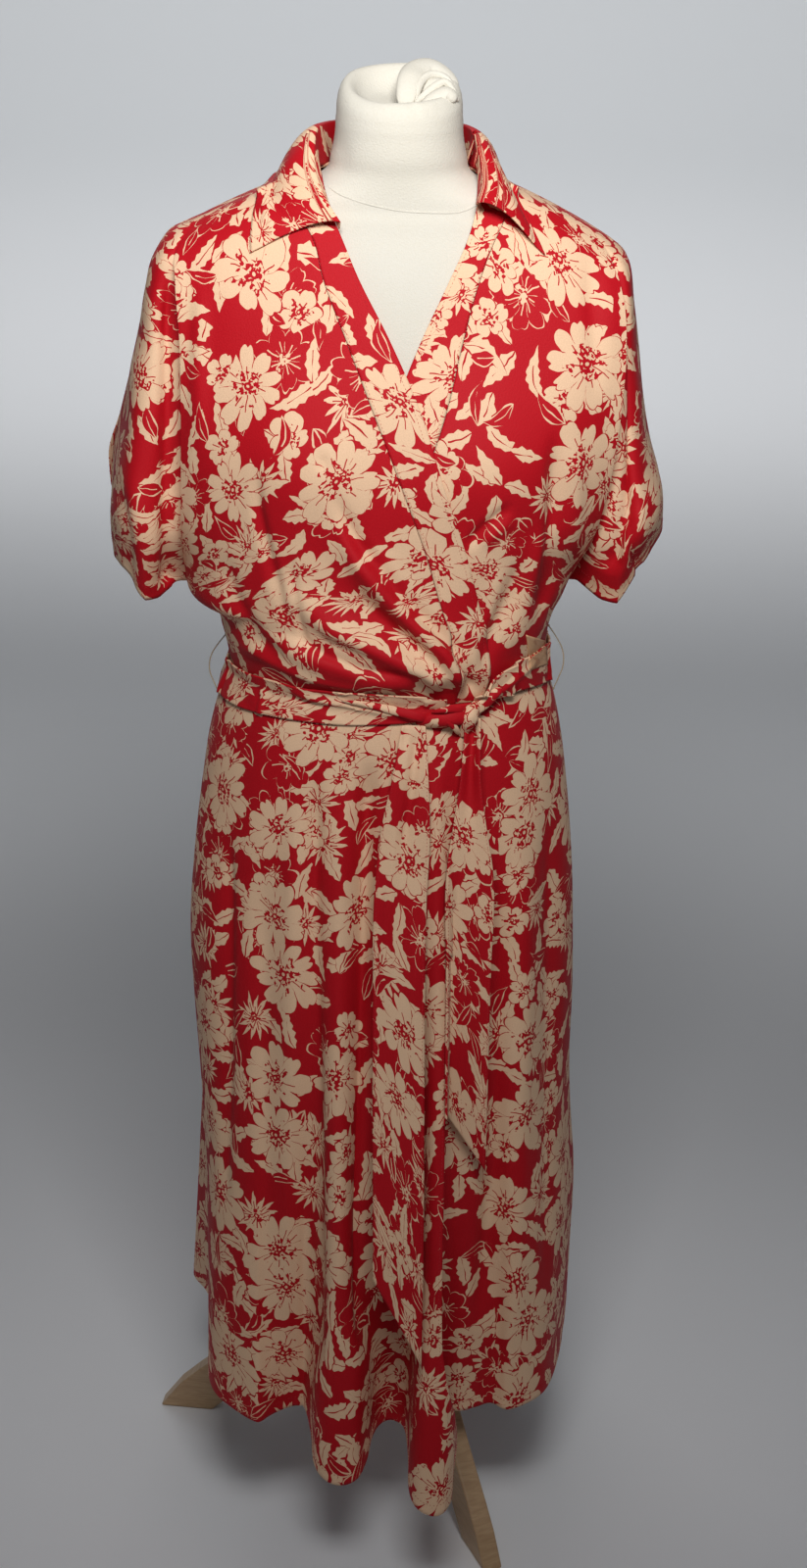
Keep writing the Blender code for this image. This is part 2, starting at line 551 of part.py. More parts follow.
SKIRT_TOP = WAIST_HEIGHT
SKIRT_HEIGHTS = (SKIRT_TOP, 0.83, 0.77, 0.69, 0.60, 0.51, 0.42, 0.335, 0.255, 0.195, HEM_HEIGHT)


def skirt_point(turn, height, hem, facing, lift):
    """Point of the skirt at an angle from the centre, its fold grown out towards the hem's line."""
    half = SKIRT.at("left" if turn >= 0 else "right", height)
    depth = SKIRT.at("front" if facing < 0 else "back", height)
    x, y = superellipse(turn, half + lift, depth + lift, SKIRT_SQUARENESS)
    hem_half = SKIRT.at("left" if turn >= 0 else "right", HEM_HEIGHT)
    hem_depth = SKIRT.at("front" if facing < 0 else "back", HEM_HEIGHT)
    plain_x, plain_y = superellipse(turn, hem_half, hem_depth, SKIRT_SQUARENESS)
    share = FOLD_GROWTH.at("share", height)
    low = ease(height, 0.50, HEM_HEIGHT)
    x += share * (hem.at("x", turn) - plain_x)
    y = facing * y + share * (hem.at("y", turn) - facing * plain_y)
    return Vector((x, y, height + low * (hem.at("z", turn) - HEM_HEIGHT)))


def turn_of(x, height):
    """Angle at which the plain skirt's front has a given x."""
    half = SKIRT.at("left" if x >= 0 else "right", height)
    turn = math.degrees(math.asin(min((abs(x) / half) ** (SKIRT_SQUARENESS / 2), 1.0)))
    return math.copysign(turn, x)


RIGHT_SKIRT_TURNS = (
    -90, -81, -72, -64, -56.5, -49.5, -43.5, -38.5, -33.5, -28.5, -24, -20, -17, -13.8, -10.5, -7,
    -4, -1.5, 1, 4, 7.3, 9.8, 11.8, 13.5, 15.2, 17.5, 19.7, 21.2, 22.6, 24,
)


def skirt_grid(hem, steps, start, ends, facing, lift):
    """Rows of a skirt panel from its top to its hem; ends gives the last angle at each height."""
    points = []
    for height in SKIRT_HEIGHTS:
        end = ends(height)
        line = []
        for step in steps:
            turn = start + (end - start) * step
            line.append(skirt_point(turn, height, hem, facing, lift(turn, height)))
        points.append(line)
    return points


def right_skirt_end(height):
    share = ease(height, 0.30, HEM_HEIGHT)
    return turn_of(FRONT_EDGE.at("x", height), height) * (1 - share) + RIGHT_HEM.keys[-1] * share


def right_skirt_lift(turn, height):
    x = superellipse(turn, SKIRT.at("right" if turn < 0 else "left", height), 1, SKIRT_SQUARENESS)[0]
    return LAP * lap_share(x, WAIST_ROW)


def skirt_grids():
    even = [step / 16 for step in range(17)]
    first, last = RIGHT_SKIRT_TURNS[0], RIGHT_SKIRT_TURNS[-1]
    right_steps = [(turn - first) / (last - first) for turn in RIGHT_SKIRT_TURNS]
    right = skirt_grid(RIGHT_HEM, right_steps, first, right_skirt_end, -1, right_skirt_lift)
    left = skirt_grid(LEFT_HEM, even, UNDERLAP_ANGLE, lambda height: 90.0, -1, lambda turn, height: 0.0)
    back_steps = [step / 28 for step in range(29)]
    back = skirt_grid(BACK_HEM, back_steps, 90, lambda height: -90.0, 1, lambda turn, height: 0.0)
    for line in right + left:
        for index in (0, -1):
            if abs(line[index].x) > 0.12:
                line[index].y -= SEAM
    for line in back:
        for index in (0, -1):
            line[index].y += SEAM
    return right, left, back


# Collar

COLLAR_COLUMN = 0.075       # widest step of its columns, as a share from the centre back to an end
COLLAR_ROWS = (0.0, 0.35, 0.7, 0.93, 1.0, 1.06, 1.16, 1.36, 1.6, 1.82, 2.0)
COLLAR_ROLL_ROW = 4
COLLAR_SETBACK = 0.0010     # the collar's seam edge off the neckline
COLLAR_REST = 0.0025        # the leaf's underside off the bodice


def share_along(points, share):
    """Point at a share of the length of a line of points."""
    lengths = [0.0]
    for start, end in zip(points, points[1:]):
        lengths.append(lengths[-1] + (end - start).length)
    wanted = share * lengths[-1]
    for index, length in enumerate(lengths[1:]):
        if wanted <= length + 1e-9:
            step = (wanted - lengths[index]) / (length - lengths[index])
            return points[index].lerp(points[index + 1], min(step, 1.0))
    return points[-1].copy()


def necklines(back_body, right_band, left_band):
    """For each side, the neck edge behind the shoulder seam and the front edge below it."""
    neck = [point for point in back_body[0] if abs(point.x) <= EDGES.at("left_edge", 0.0) + 1e-4]
    middle = len(neck) // 2
    lines = {}
    for sign, band, behind in ((-1, right_band, neck[middle:]), (1, left_band, neck[middle::-1])):
        edge = [line[-1 if sign < 0 else 0] for line in band]
        rows = sum(row < COLLAR_END_ROW[sign] for row in BODICE_ROWS)
        share = (COLLAR_END_ROW[sign] - BODICE_ROWS[rows - 1]) / (BODICE_ROWS[rows] - BODICE_ROWS[rows - 1])
        lines[sign] = behind, edge[:rows] + [edge[rows - 1].lerp(edge[rows], share)]
    return lines


def collar_point(place_along, row, lines):
    """Point of the collar: row 0 is its seam, 1 its roll line and 2 the leaf's outer edge."""
    sign = 1 if place_along >= 0 else -1
    along = abs(place_along)
    side = side_name(sign)
    roll = Vector([COLLAR_ROLL.at(f"{side}_{axis_name}", along) for axis_name in "xyz"])
    edge = Vector([COLLAR_EDGE.at(f"{side}_{axis_name}", along) for axis_name in "xyz"])
    roll.x *= sign
    edge.x *= sign
    if row <= 1:
        behind, front = lines[sign]
        seam = share_along(behind, along / 0.5) if along <= 0.5 else share_along(front, along / 0.5 - 1)
        rise = (roll - seam).normalized() * COLLAR_SETBACK
        return seam + rise + (roll - seam - rise) * row
    fall = row - 1
    out = Vector((edge.x - roll.x, edge.y - roll.y, 0.0)).normalized()
    bulge = 0.0065 * math.sin(math.pi * fall ** 0.6)
    return roll.lerp(edge, fall) + out * bulge + Vector((0, 0, bulge * 0.75))


def collar_places(line):
    """Places of the collar's columns on one side: the neckline's own corners, and more between them."""
    places = [0.0]
    for start, part in zip((0.0, 0.5), line):
        lengths = np.cumsum([0.0] + [(end - begin).length for begin, end in zip(part, part[1:])])
        for corner in start + 0.5 * lengths[1:] / lengths[-1]:
            first = places[-1]
            count = math.ceil((corner - first) / COLLAR_COLUMN)
            places += [first + (corner - first) * step / count for step in range(1, count + 1)]
    return places


def collar_grid(lines):
    places = [-place_along for place_along in collar_places(lines[-1])[:0:-1]] + collar_places(lines[1])
    return [[collar_point(place_along, row, lines) for place_along in places] for row in COLLAR_ROWS]


# Sash

SASH_STEPS = 40
SASH_REST = 0.0013      # more than other pieces have, for the flat stretches between its columns
SASH_ROWS = (-1.0, -0.33, 0.33, 1.0)


def sash_grid(surfaces):
    """The belt's outer side, top edge first, laid on the dress."""
    points = []
    for across in reversed(SASH_ROWS):
        line = []
        for step in range(SASH_STEPS + 1):
            turn = SASH.keys[0] + (SASH.keys[-1] - SASH.keys[0]) * step / SASH_STEPS
            height = SASH.at("middle", turn) + across * SASH.at("half", turn)
            seen = ((turn + 180) % 360) - 180
            front = abs(seen) <= 90
            depth = SKIRT.at("front" if front else "back", min(height, SKIRT_TOP))
            half = SKIRT.at("left" if seen > 0 else "right", min(height, SKIRT_TOP))
            clear = SASH.at("lift", turn) + SASH_CLOTH
            x, y = superellipse(seen, half + clear, depth + clear, SKIRT_SQUARENESS)
            line.append(Vector((x, -y, height)))
        points.append(line)
    return laid_on(points, surfaces, SASH_CLOTH + SASH_REST)


def front_of(surfaces, x, height):
    """The y of the foremost surface at a place, seen from the front."""
    hits = [surface.ray_cast(Vector((x, -0.5, height)), Vector((0, 1, 0))) for surface in surfaces]
    return min(hit[0].y for hit in hits if hit[0] is not None)


def end_grid(table, slant, columns, surfaces):
    """A hanging end of the sash: flat cloth with a slanted tip."""
    top = max(table.keys)
    points = []
    steps = 13
    for step in range(steps + 1):
        line = []
        for column in range(columns + 1):
            across = -1 + 2 * column / columns
            low = slant[0] + (slant[1] - slant[0]) * (across + 1) / 2
            height = top + (low - top) * step / steps
            x = table.at("x", height) + across * table.at("half", height)
            pleat = 0.0035 * (1 - ease(height, top - 0.03, top - 0.16)) * math.cos(across * math.pi)
            point = Vector((x, table.at("y", height) + pleat, height))
            reach = table.at("half", height) / columns
            ahead = min(front_of(surfaces, x + shift * reach, height) for shift in (-2, -1, 0, 1, 2))
            point.y = min(point.y, ahead - SASH_CLOTH - REST)
            line.append(point)
        points.append(line)
    return points


def first_hit(surfaces, start, direction):
    """Nearest point of some surfaces that is met from a starting point."""
    hits = [surface.ray_cast(start, direction) for surface in surfaces]
    return min((hit for hit in hits if hit[0] is not None), key=lambda hit: hit[3])[0]


def knot_piece(name, surfaces):
    """The knot: a flattened lump of rolled cloth, pressed against the sash behind it."""
    x, z = KNOT_PLACE
    mesh = bmesh.new()
    bmesh.ops.create_uvsphere(mesh, u_segments=14, v_segments=8, radius=1.0)
    behind = first_hit(surfaces, Vector((x, -0.5, z)), Vector((0, 1, 0)))
    wide, deep, high = KNOT_SIZE
    for vertex in mesh.verts:
        swell = 1 + 0.14 * math.sin(3 * math.atan2(vertex.co.z, vertex.co.x) + 0.6)
        vertex.co = Vector((vertex.co.x * wide * swell, vertex.co.y * deep, vertex.co.z * high))
        vertex.co += behind - Vector((0, 0.6 * deep, 0))
    points = laid_on([[vertex.co.copy() for vertex in mesh.verts]], surfaces, SEAM)[0]
    for vertex, point in zip(mesh.verts, points):
        vertex.co = point
    data = bpy.data.meshes.new(name)
    mesh.to_mesh(data)
    mesh.free()
    return place(name, data, RED, 0.6)


LOOP_RADIUS = 0.0009
LOOP_FORWARD = 0.006    # how far in front of the side seam the loops are sewn
LOOP_BOW = (0.0, 0.0055, 0.0100, 0.0115, 0.0105, 0.0065, 0.0)


def belt_loop(name, sign, top, bottom, surfaces):
    """A thread loop: a thin cord sewn on above and below the sash, bowed outwards."""
    curve = bpy.data.curves.new(name, "CURVE")
    curve.dimensions = "3D"
    curve.bevel_depth = LOOP_RADIUS
    curve.bevel_resolution = 1
    curve.use_fill_caps = True
    spline = curve.splines.new("POLY")
    spline.points.add(len(LOOP_BOW) - 1)
    ends = []
    for height in (top, bottom):
        seat = first_hit(surfaces, Vector((sign * 0.4, -LOOP_FORWARD, height)), Vector((-sign, 0, 0)))
        ends.append(seat + Vector((sign * (LOOP_RADIUS + SEAM), 0, 0)))
    for index, bow in enumerate(LOOP_BOW):
        point = ends[0].lerp(ends[1], index / (len(LOOP_BOW) - 1)) + Vector((sign * bow, 0, 0))
        spline.points[index].co = (*point, 1.0)
    return place(name, curve, CREAM, 0.7)


# Dress form and stand

def form_piece(name):
    """Torso and neck as one closed body: a sphere whose rings are moved to the form's sections."""
    levels = (*FORM.keys, NECK_TOP)
    rings = len(levels) + 1
    around = 26
    mesh = bmesh.new()
    bmesh.ops.create_uvsphere(mesh, u_segments=around, v_segments=rings, radius=1.0)
    for vertex in mesh.verts:
        polar = math.acos(max(-1.0, min(1.0, vertex.co.z)))
        ring = round((1 - polar / math.pi) * rings)
        if ring in (0, rings):
            vertex.co = Vector((0, 0, levels[0] if ring == 0 else NECK_TOP))
            continue
        height = levels[ring - 1]
        turn = math.degrees(math.atan2(vertex.co.x, -vertex.co.y))
        shrink = 0.7 if height == NECK_TOP else 1.0
        depth = FORM.at("front" if abs(turn) <= 90 else "back", height)
        x, y = superellipse(turn, FORM.at("half", height) * shrink, depth * shrink, FORM_SQUARENESS)
        if y > 0:
            y += bust(x, height) * ease(height, 1.2, 1.15) * ease(height, 0.93, 1.0)
        vertex.co = Vector((x, -y, height))
    data = bpy.data.meshes.new(name)
    mesh.to_mesh(data)
    mesh.free()
    return place(name, data, JERSEY, 0.85)


def gather_piece(name):
    """The cover's cloth gathered over the neck: a low ring round a hollow, with a fold on one side."""
    mesh = bmesh.new()
    around, rings = 24, 9
    bmesh.ops.create_uvsphere(mesh, u_segments=around, v_segments=rings, radius=1.0)
    profile = ((0.0, 0.0), (0.040, 0.0), (0.047, 0.003), (0.0475, 0.009), (0.041, 0.0145),
               (0.031, 0.0150), (0.022, 0.0105), (0.016, 0.0055), (0.010, 0.0035), (0.0, 0.003))
    for vertex in mesh.verts:
        polar = math.acos(max(-1.0, min(1.0, vertex.co.z)))
        ring = round((1 - polar / math.pi) * rings)
        radius, height = profile[ring]
        turn = math.atan2(vertex.co.y, vertex.co.x)
        side = math.exp(-((math.degrees(turn) - 40) / 55) ** 2) if radius > 0.02 else 0.0
        lift = 1 + 0.55 * side if height > 0.002 else 1.0
        vertex.co = Vector((radius * math.cos(turn), radius * math.sin(turn),
                            NECK_TOP + SEAM + height * lift))
    data = bpy.data.meshes.new(name)
    mesh.to_mesh(data)
    mesh.free()
    return place(name, data, JERSEY, 0.85)


def turned_piece(name, profile, sides, colour, roughness, turn=0.0):
    """A turned piece: its profile of radius and height, top to bottom, swept round the axis."""
    data = bpy.data.meshes.new(name)
    mesh = bmesh.new()
    corners = [mesh.verts.new((radius, 0, height)) for radius, height in profile]
    for start, end in zip(corners, corners[1:]):
        mesh.edges.new((start, end))
    mesh.to_mesh(data)
    mesh.free()
    piece = place(name, data, colour, roughness, smooth=False, upright=stand_axis)
    sweep = piece.modifiers.new("turning", "SCREW")
    sweep.steps = sides
    sweep.render_steps = sides
    sweep.use_merge_vertices = True
    sweep.merge_threshold = 0.0001
    piece.rotation_euler.z = turn
    return piece


def leg_outline():
    """Side outline of a leg: out from the hub along an arch, down to a flat foot and back under."""
    top = Table(
        "reach height",
        (HUB_RADIUS, 0.232), (0.06, 0.205), (0.10, 0.163), (0.14, 0.118),
        (0.18, 0.078), (0.215, 0.047), (0.240, 0.021), (TRIPOD_REACH, 0.0),
    )
    under = Table("reach height", (HUB_RADIUS, 0.176), (0.07, 0.140), (0.12, 0.083), (0.17, 0.026), (0.198, 0.0))
    start = HUB_RADIUS + 0.0003
    over = [start + (TRIPOD_REACH - start) * (step / 9) ** 0.85 for step in range(10)]
    below = [0.198 + (start - 0.198) * step / 5 for step in range(6)]
    return [(r, top.at("height", r)) for r in over] + [(r, max(under.at("height", r), 0.0)) for r in below]


def leg_piece(name, angle):
    curve = bpy.data.curves.new(name, "CURVE")
    curve.dimensions = "2D"
    curve.fill_mode = "BOTH"
    curve.extrude = LEG_THICKNESS / 2
    outline = leg_outline()
    spline = curve.splines.new("POLY")
    spline.points.add(len(outline) - 1)
    for point, (reach, height) in zip(spline.points, outline):
        point.co = (reach, height, 0, 1)
    spline.use_cyclic_u = True
    piece = place(name, curve, WOOD, 0.5, upright=stand_axis)
    piece.rotation_euler = (math.radians(90), 0, math.radians(angle))
    return piece


def build_dress():
    right_panel, right_band, right_sleeve = front_grids(-1)
    left_panel, left_band, left_sleeve = front_grids(1)
    back_body, back_left_sleeve, back_right_sleeve = back_grids()
    right_skirt, left_skirt, back_skirt = skirt_grids()
    cloth_piece("bodice_front_right", right_panel, right_sleeve)
    cloth_piece("bodice_front_left", left_panel, left_sleeve)
    cloth_piece("front_band_right", right_band)
    cloth_piece("front_band_left", left_band)
    cloth_piece("bodice_back", back_body, back_left_sleeve, back_right_sleeve)
    cloth_piece("skirt_front_right", right_skirt)
    cloth_piece("skirt_front_left", left_skirt)
    cloth_piece("skirt_back", back_skirt)

    bodice = [surface_of(grid) for grid in (right_panel, left_panel, right_band, left_band, back_body)]
    skirt = [surface_of(grid) for grid in (right_skirt, left_skirt, back_skirt)]
    collar = collar_grid(necklines(back_body, right_band, left_band))
    cloth_piece("collar", laid_on(collar, bodice, COLLAR_REST, COLLAR_ROLL_ROW + 2))
    sash = sash_grid(bodice + skirt)
    cloth_piece("sash_belt", sash, wall=SASH_CLOTH)
    knot_piece("sash_knot", [surface_of(sash)] + bodice + skirt)
    behind_ends = skirt + [surface_of(sash)]
    cloth_piece("sash_end_long", end_grid(LONG_END, LONG_END_SLANT, 4, behind_ends), wall=SASH_CLOTH)
    cloth_piece("sash_end_short", end_grid(SHORT_END, SHORT_END_SLANT, 4, behind_ends), wall=SASH_CLOTH)
    belt_loop("belt_loop_right", -1, 0.893, 0.836, bodice + skirt)
    belt_loop("belt_loop_left", 1, 0.908, 0.846, bodice + skirt)


def build_form():
    form_piece("form_body")
    gather_piece("form_neck_gather")
    turned_piece("stand_pole", ((0, 0.5852), (POLE_RADIUS, 0.5852), (POLE_RADIUS, HUB_TOP + 0.0003),
                                (0, HUB_TOP + 0.0003)), 16, WOOD, 0.5)
    sides = 12
    corner = HUB_RADIUS / math.cos(math.pi / sides)
    turned_piece("stand_hub", ((0, HUB_TOP), (corner * 0.7, HUB_TOP), (corner, HUB_TOP - 0.012),
                               (corner, HUB_BOTTOM + 0.012), (corner * 0.8, HUB_BOTTOM), (0, HUB_BOTTOM)),
                 sides, WOOD, 0.5, turn=math.radians(FIRST_LEG + 180 / sides))
    for number in range(LEG_COUNT):
        leg_piece(f"stand_leg_{number + 1}", FIRST_LEG + 360 / LEG_COUNT * number)


for old in list(bpy.data.objects):
    bpy.data.objects.remove(old)
collection = bpy.data.collections.new("wrap_dress_on_form")
bpy.context.scene.collection.children.link(collection)
axis = bpy.data.objects.new("form_axis", None)
axis.location = (AXIS_X, AXIS_Y, 0)
collection.objects.link(axis)
stand_axis = bpy.data.objects.new("stand_axis", None)
stand_axis.location = (AXIS_X + STAND_X, AXIS_Y + STAND_Y, 0)
collection.objects.link(stand_axis)
build_dress()
build_form()
bpy.context.view_layer.update()
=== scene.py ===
import math

import bmesh
import bpy
import numpy as np
from mathutils import Matrix, Vector
from mathutils.bvhtree import BVHTree


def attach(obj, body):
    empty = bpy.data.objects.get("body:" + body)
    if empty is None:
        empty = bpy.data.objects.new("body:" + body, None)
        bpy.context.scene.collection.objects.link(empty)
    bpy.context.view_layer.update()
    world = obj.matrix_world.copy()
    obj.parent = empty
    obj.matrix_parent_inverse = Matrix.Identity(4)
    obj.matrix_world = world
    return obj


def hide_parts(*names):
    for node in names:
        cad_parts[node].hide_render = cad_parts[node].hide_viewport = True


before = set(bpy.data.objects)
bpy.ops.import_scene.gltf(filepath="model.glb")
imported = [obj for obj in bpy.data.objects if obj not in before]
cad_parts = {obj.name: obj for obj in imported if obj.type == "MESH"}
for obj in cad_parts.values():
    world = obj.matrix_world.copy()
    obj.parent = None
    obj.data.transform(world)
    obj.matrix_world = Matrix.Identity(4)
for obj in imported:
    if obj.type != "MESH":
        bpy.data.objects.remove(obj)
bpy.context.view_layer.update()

print("frame loaded")

# Metres, +Z up, the front faces -Y. Right and left are the wearer's: the right side is at -X.
# The numbers below are measured from the form's axis, and finishPiece moves each piece to its place.
place = {
    "formAxis": (0.0055, 0.0235),
    "waist": 0.868,
    "hem": 0.145,
    "wall": 0.0011,         # the cloth's thickness
    "seam": 0.0004,         # open gap at each seam
    "lap": 0.0030,          # how far the right front stands off the left front that it covers
    "lapFrom": (-0.135, -0.085),        # where across the front it lifts off
    "lapRows": (0.18, 0.40),            # and where down the bodice
}


class Table:        # named columns over a first column, read on a smooth curve through the rows
    def __init__(self, names, *rows):
        cells = np.array(rows, dtype=float)
        if cells[0, 0] > cells[-1, 0]:
            cells = cells[::-1]
        self.keys = cells[:, 0]
        self.columns = dict(zip(names.split()[1:], cells[:, 1:].T))

    def at(self, name, key):
        keys, values = self.keys, self.columns[name]
        key = np.clip(key, keys[0], keys[-1])
        low = np.clip(np.searchsorted(keys, key, side="right") - 1, 0, len(keys) - 2)
        slopes = np.gradient(values, keys)
        width = keys[low + 1] - keys[low]
        t = (key - keys[low]) / width
        return (values[low] * (2 * t**3 - 3 * t**2 + 1) + slopes[low] * width * (t**3 - 2 * t**2 + t)
                + values[low + 1] * (3 * t**2 - 2 * t**3) + slopes[low + 1] * width * (t**3 - t**2))


def ease(value, start, end):        # 0 before start, 1 after end, smooth between; end may lie below start
    t = np.clip((value - start) / (end - start), 0.0, 1.0)
    return t * t * (3 - 2 * t)


# Materials. A Wire is what one socket gives, and arithmetic with it adds Math nodes.

class Wire:
    def __init__(self, socket):
        self.socket = socket

    def calc(self, operation, *others):
        return addNode(self, "Math", (self, *others), operation=operation)

    def __add__(self, other):
        return self.calc("ADD", other)

    def __sub__(self, other):
        return self.calc("SUBTRACT", other)

    def __rsub__(self, other):
        return addNode(self, "Math", (other, self), operation="SUBTRACT")

    def __mul__(self, other):
        return self.calc("MULTIPLY", other)

    def __truediv__(self, other):
        return self.calc("DIVIDE", other)

    def __rtruediv__(self, other):
        return addNode(self, "Math", (other, self), operation="DIVIDE")

    def __pow__(self, other):
        return self.calc("POWER", other)

    def __mod__(self, other):
        return self.calc("FLOORED_MODULO", other)

    def __lt__(self, other):
        return self.calc("LESS_THAN", other)

    def __gt__(self, other):
        return self.calc("GREATER_THAN", other)

    def __abs__(self):
        return self.calc("ABSOLUTE")


def feed(slot, value):      # a wire, a number, a place or a colour into a socket
    if isinstance(value, Wire):
        slot.id_data.links.new(value.socket, slot)
    else:
        slot.default_value = (*value, 1.0) if slot.type == "RGBA" else value


def addNode(near, kind, values=(), output=0, **settings):
    node = near.socket.id_data.nodes.new("ShaderNode" + kind)
    for name, setting in settings.items():
        setattr(node, name, setting)
    named = values.items() if isinstance(values, dict) else enumerate(values)
    for name, value in named:
        feed(node.inputs[name], value)
    return Wire(node.outputs[output])


def joinAxes(x, y, z):
    return addNode(x, "CombineXYZ", (x, y, z))


def splitAxes(vector, kind="SeparateXYZ"):
    first = addNode(vector, kind, (vector,))
    return [Wire(socket) for socket in first.socket.node.outputs]


def noise(where, scale, detail=0.0, dimensions="2D", output=0, distortion=0.0):
    values = {"Vector": where, "Scale": scale, "Detail": detail, "Distortion": distortion}
    return addNode(where, "TexNoise", values, output, noise_dimensions=dimensions)


def scaled(vector, amount):
    return addNode(vector, "VectorMath", {0: vector, "Scale": amount}, operation="SCALE")


def moved(vector, shift, operation="ADD"):
    return addNode(vector, "VectorMath", (vector, shift), operation=operation)


def blendColour(share, first, second):
    return addNode(share, "Mix", {0: share, 6: first, 7: second}, 2, data_type="RGBA")


def newMaterial(name, colour, roughness, sheen=0.0, shine=0.5):
    made = bpy.data.materials.new(name)
    made.use_nodes = True
    shader = made.node_tree.nodes["Principled BSDF"].inputs
    shader["Base Color"].default_value = (*colour, 1.0)
    shader["Roughness"].default_value = roughness
    shader["Specular IOR Level"].default_value = shine
    shader["Sheen Weight"].default_value = sheen
    shader["Sheen Roughness"].default_value = 0.4
    made.diffuse_color = (*colour, 1.0)
    return made, made.node_tree.nodes.new("ShaderNodeTexCoord").outputs, shader


def addBump(shader, height, distance, strength=1.0):
    values = {"Height": height, "Distance": distance, "Strength": strength}
    feed(shader["Normal"], addNode(height, "Bump", values))


# Print of the dress cloth: flowers and leaves scattered over the flat cloth, drawn in its own metres

printPlan = {
    "red": (0.460, 0.0045, 0.0110), "cream": (0.800, 0.528, 0.338),
    "line": 0.00045,        # half the width of a drawn line
    "wander": (30.0, 0.0015),       # how often the shapes are bent, and how far
    "tremble": (150.0, 0.00030),    # how often the lines shake, and how far
}
motifs = (      # from the lowest to the top: kind, paint, rim, share that shows, and the sizes named below
    ("leaf", "cream", None, 0.72, (0.029, 0.90, 1, 0.021, 0.0072, 0.30)),
    ("leaf", "red", "cream", 0.22, (0.045, 0.90, 2, 0.018, 0.0075, 0.0)),
    ("flower", "cream", "red", 0.44, (0.060, 0.70, 3, 0.027, 12, 0.9, 0.62, 0.22, 0)),
    ("flower", "red", "cream", 0.45, (0.066, 0.80, 4, 0.030, 7, 2.2, 0.30, 0.20, 1)),
    ("leaf", "cream", "red", 0.42, (0.036, 0.90, 5, 0.021, 0.0074, 0.22)),
    ("flower", "cream", "red", 0.42, (0.056, 0.85, 6, 0.021, 5, 2.6, 0.34, 0.34, 0)),
    ("leaf", "red", "cream", 0.28, (0.041, 0.90, 8, 0.017, 0.0068, 0.0)),
    ("flower", "cream", "red", 0.53, (0.083, 0.62, 7, 0.0400, 8, 2.7, 0.40, 0.30, 0)),
)
motifSizes = {
    "leaf": ("Spacing", "Scatter", "Seed", "Length", "Width", "Teeth"),
    "flower": ("Spacing", "Scatter", "Seed", "Radius", "Petals", "Round", "Depth", "Heart", "Inner"),
}


def newGroup(kind):     # a node group with a socket for each of the motif's sizes
    tree = bpy.data.node_groups.new("scattered_" + kind, "ShaderNodeTree")
    tree.interface.new_socket("Place", in_out="INPUT", socket_type="NodeSocketVector")
    for title in motifSizes[kind]:
        tree.interface.new_socket(title, in_out="INPUT", socket_type="NodeSocketFloat")
    for title in ("Inside", "Drawn", "Rim", "Chance"):
        tree.interface.new_socket(title, in_out="OUTPUT", socket_type="NodeSocketFloat")
    given = {socket.name: Wire(socket) for socket in tree.nodes.new("NodeGroupInput").outputs}
    return tree, given, tree.nodes.new("NodeGroupOutput").inputs


def scattered(given):       # the nearest of many scattered spots: local place and three random numbers
    seed = given["Seed"]
    where = moved(given["Place"], joinAxes(seed * 1.37, seed * 0.71, 0))
    values = {"Vector": where, "Scale": 1.0 / given["Spacing"], "Randomness": given["Scatter"]}
    cells = addNode(where, "TexVoronoi", values, "Position", voronoi_dimensions="2D", feature="F1")
    colour = Wire(cells.socket.node.outputs["Color"])
    return moved(where, cells, "SUBTRACT"), splitAxes(colour, "SeparateColor")


def strokePress(where):     # how hard the brush was pressed: 0 to 1.8, so lines swell and break off
    share = noise(where, 62.0, detail=1.0) * 4.2 - 1.25
    return share.calc("MINIMUM", 1.8).calc("MAXIMUM", 0.0)


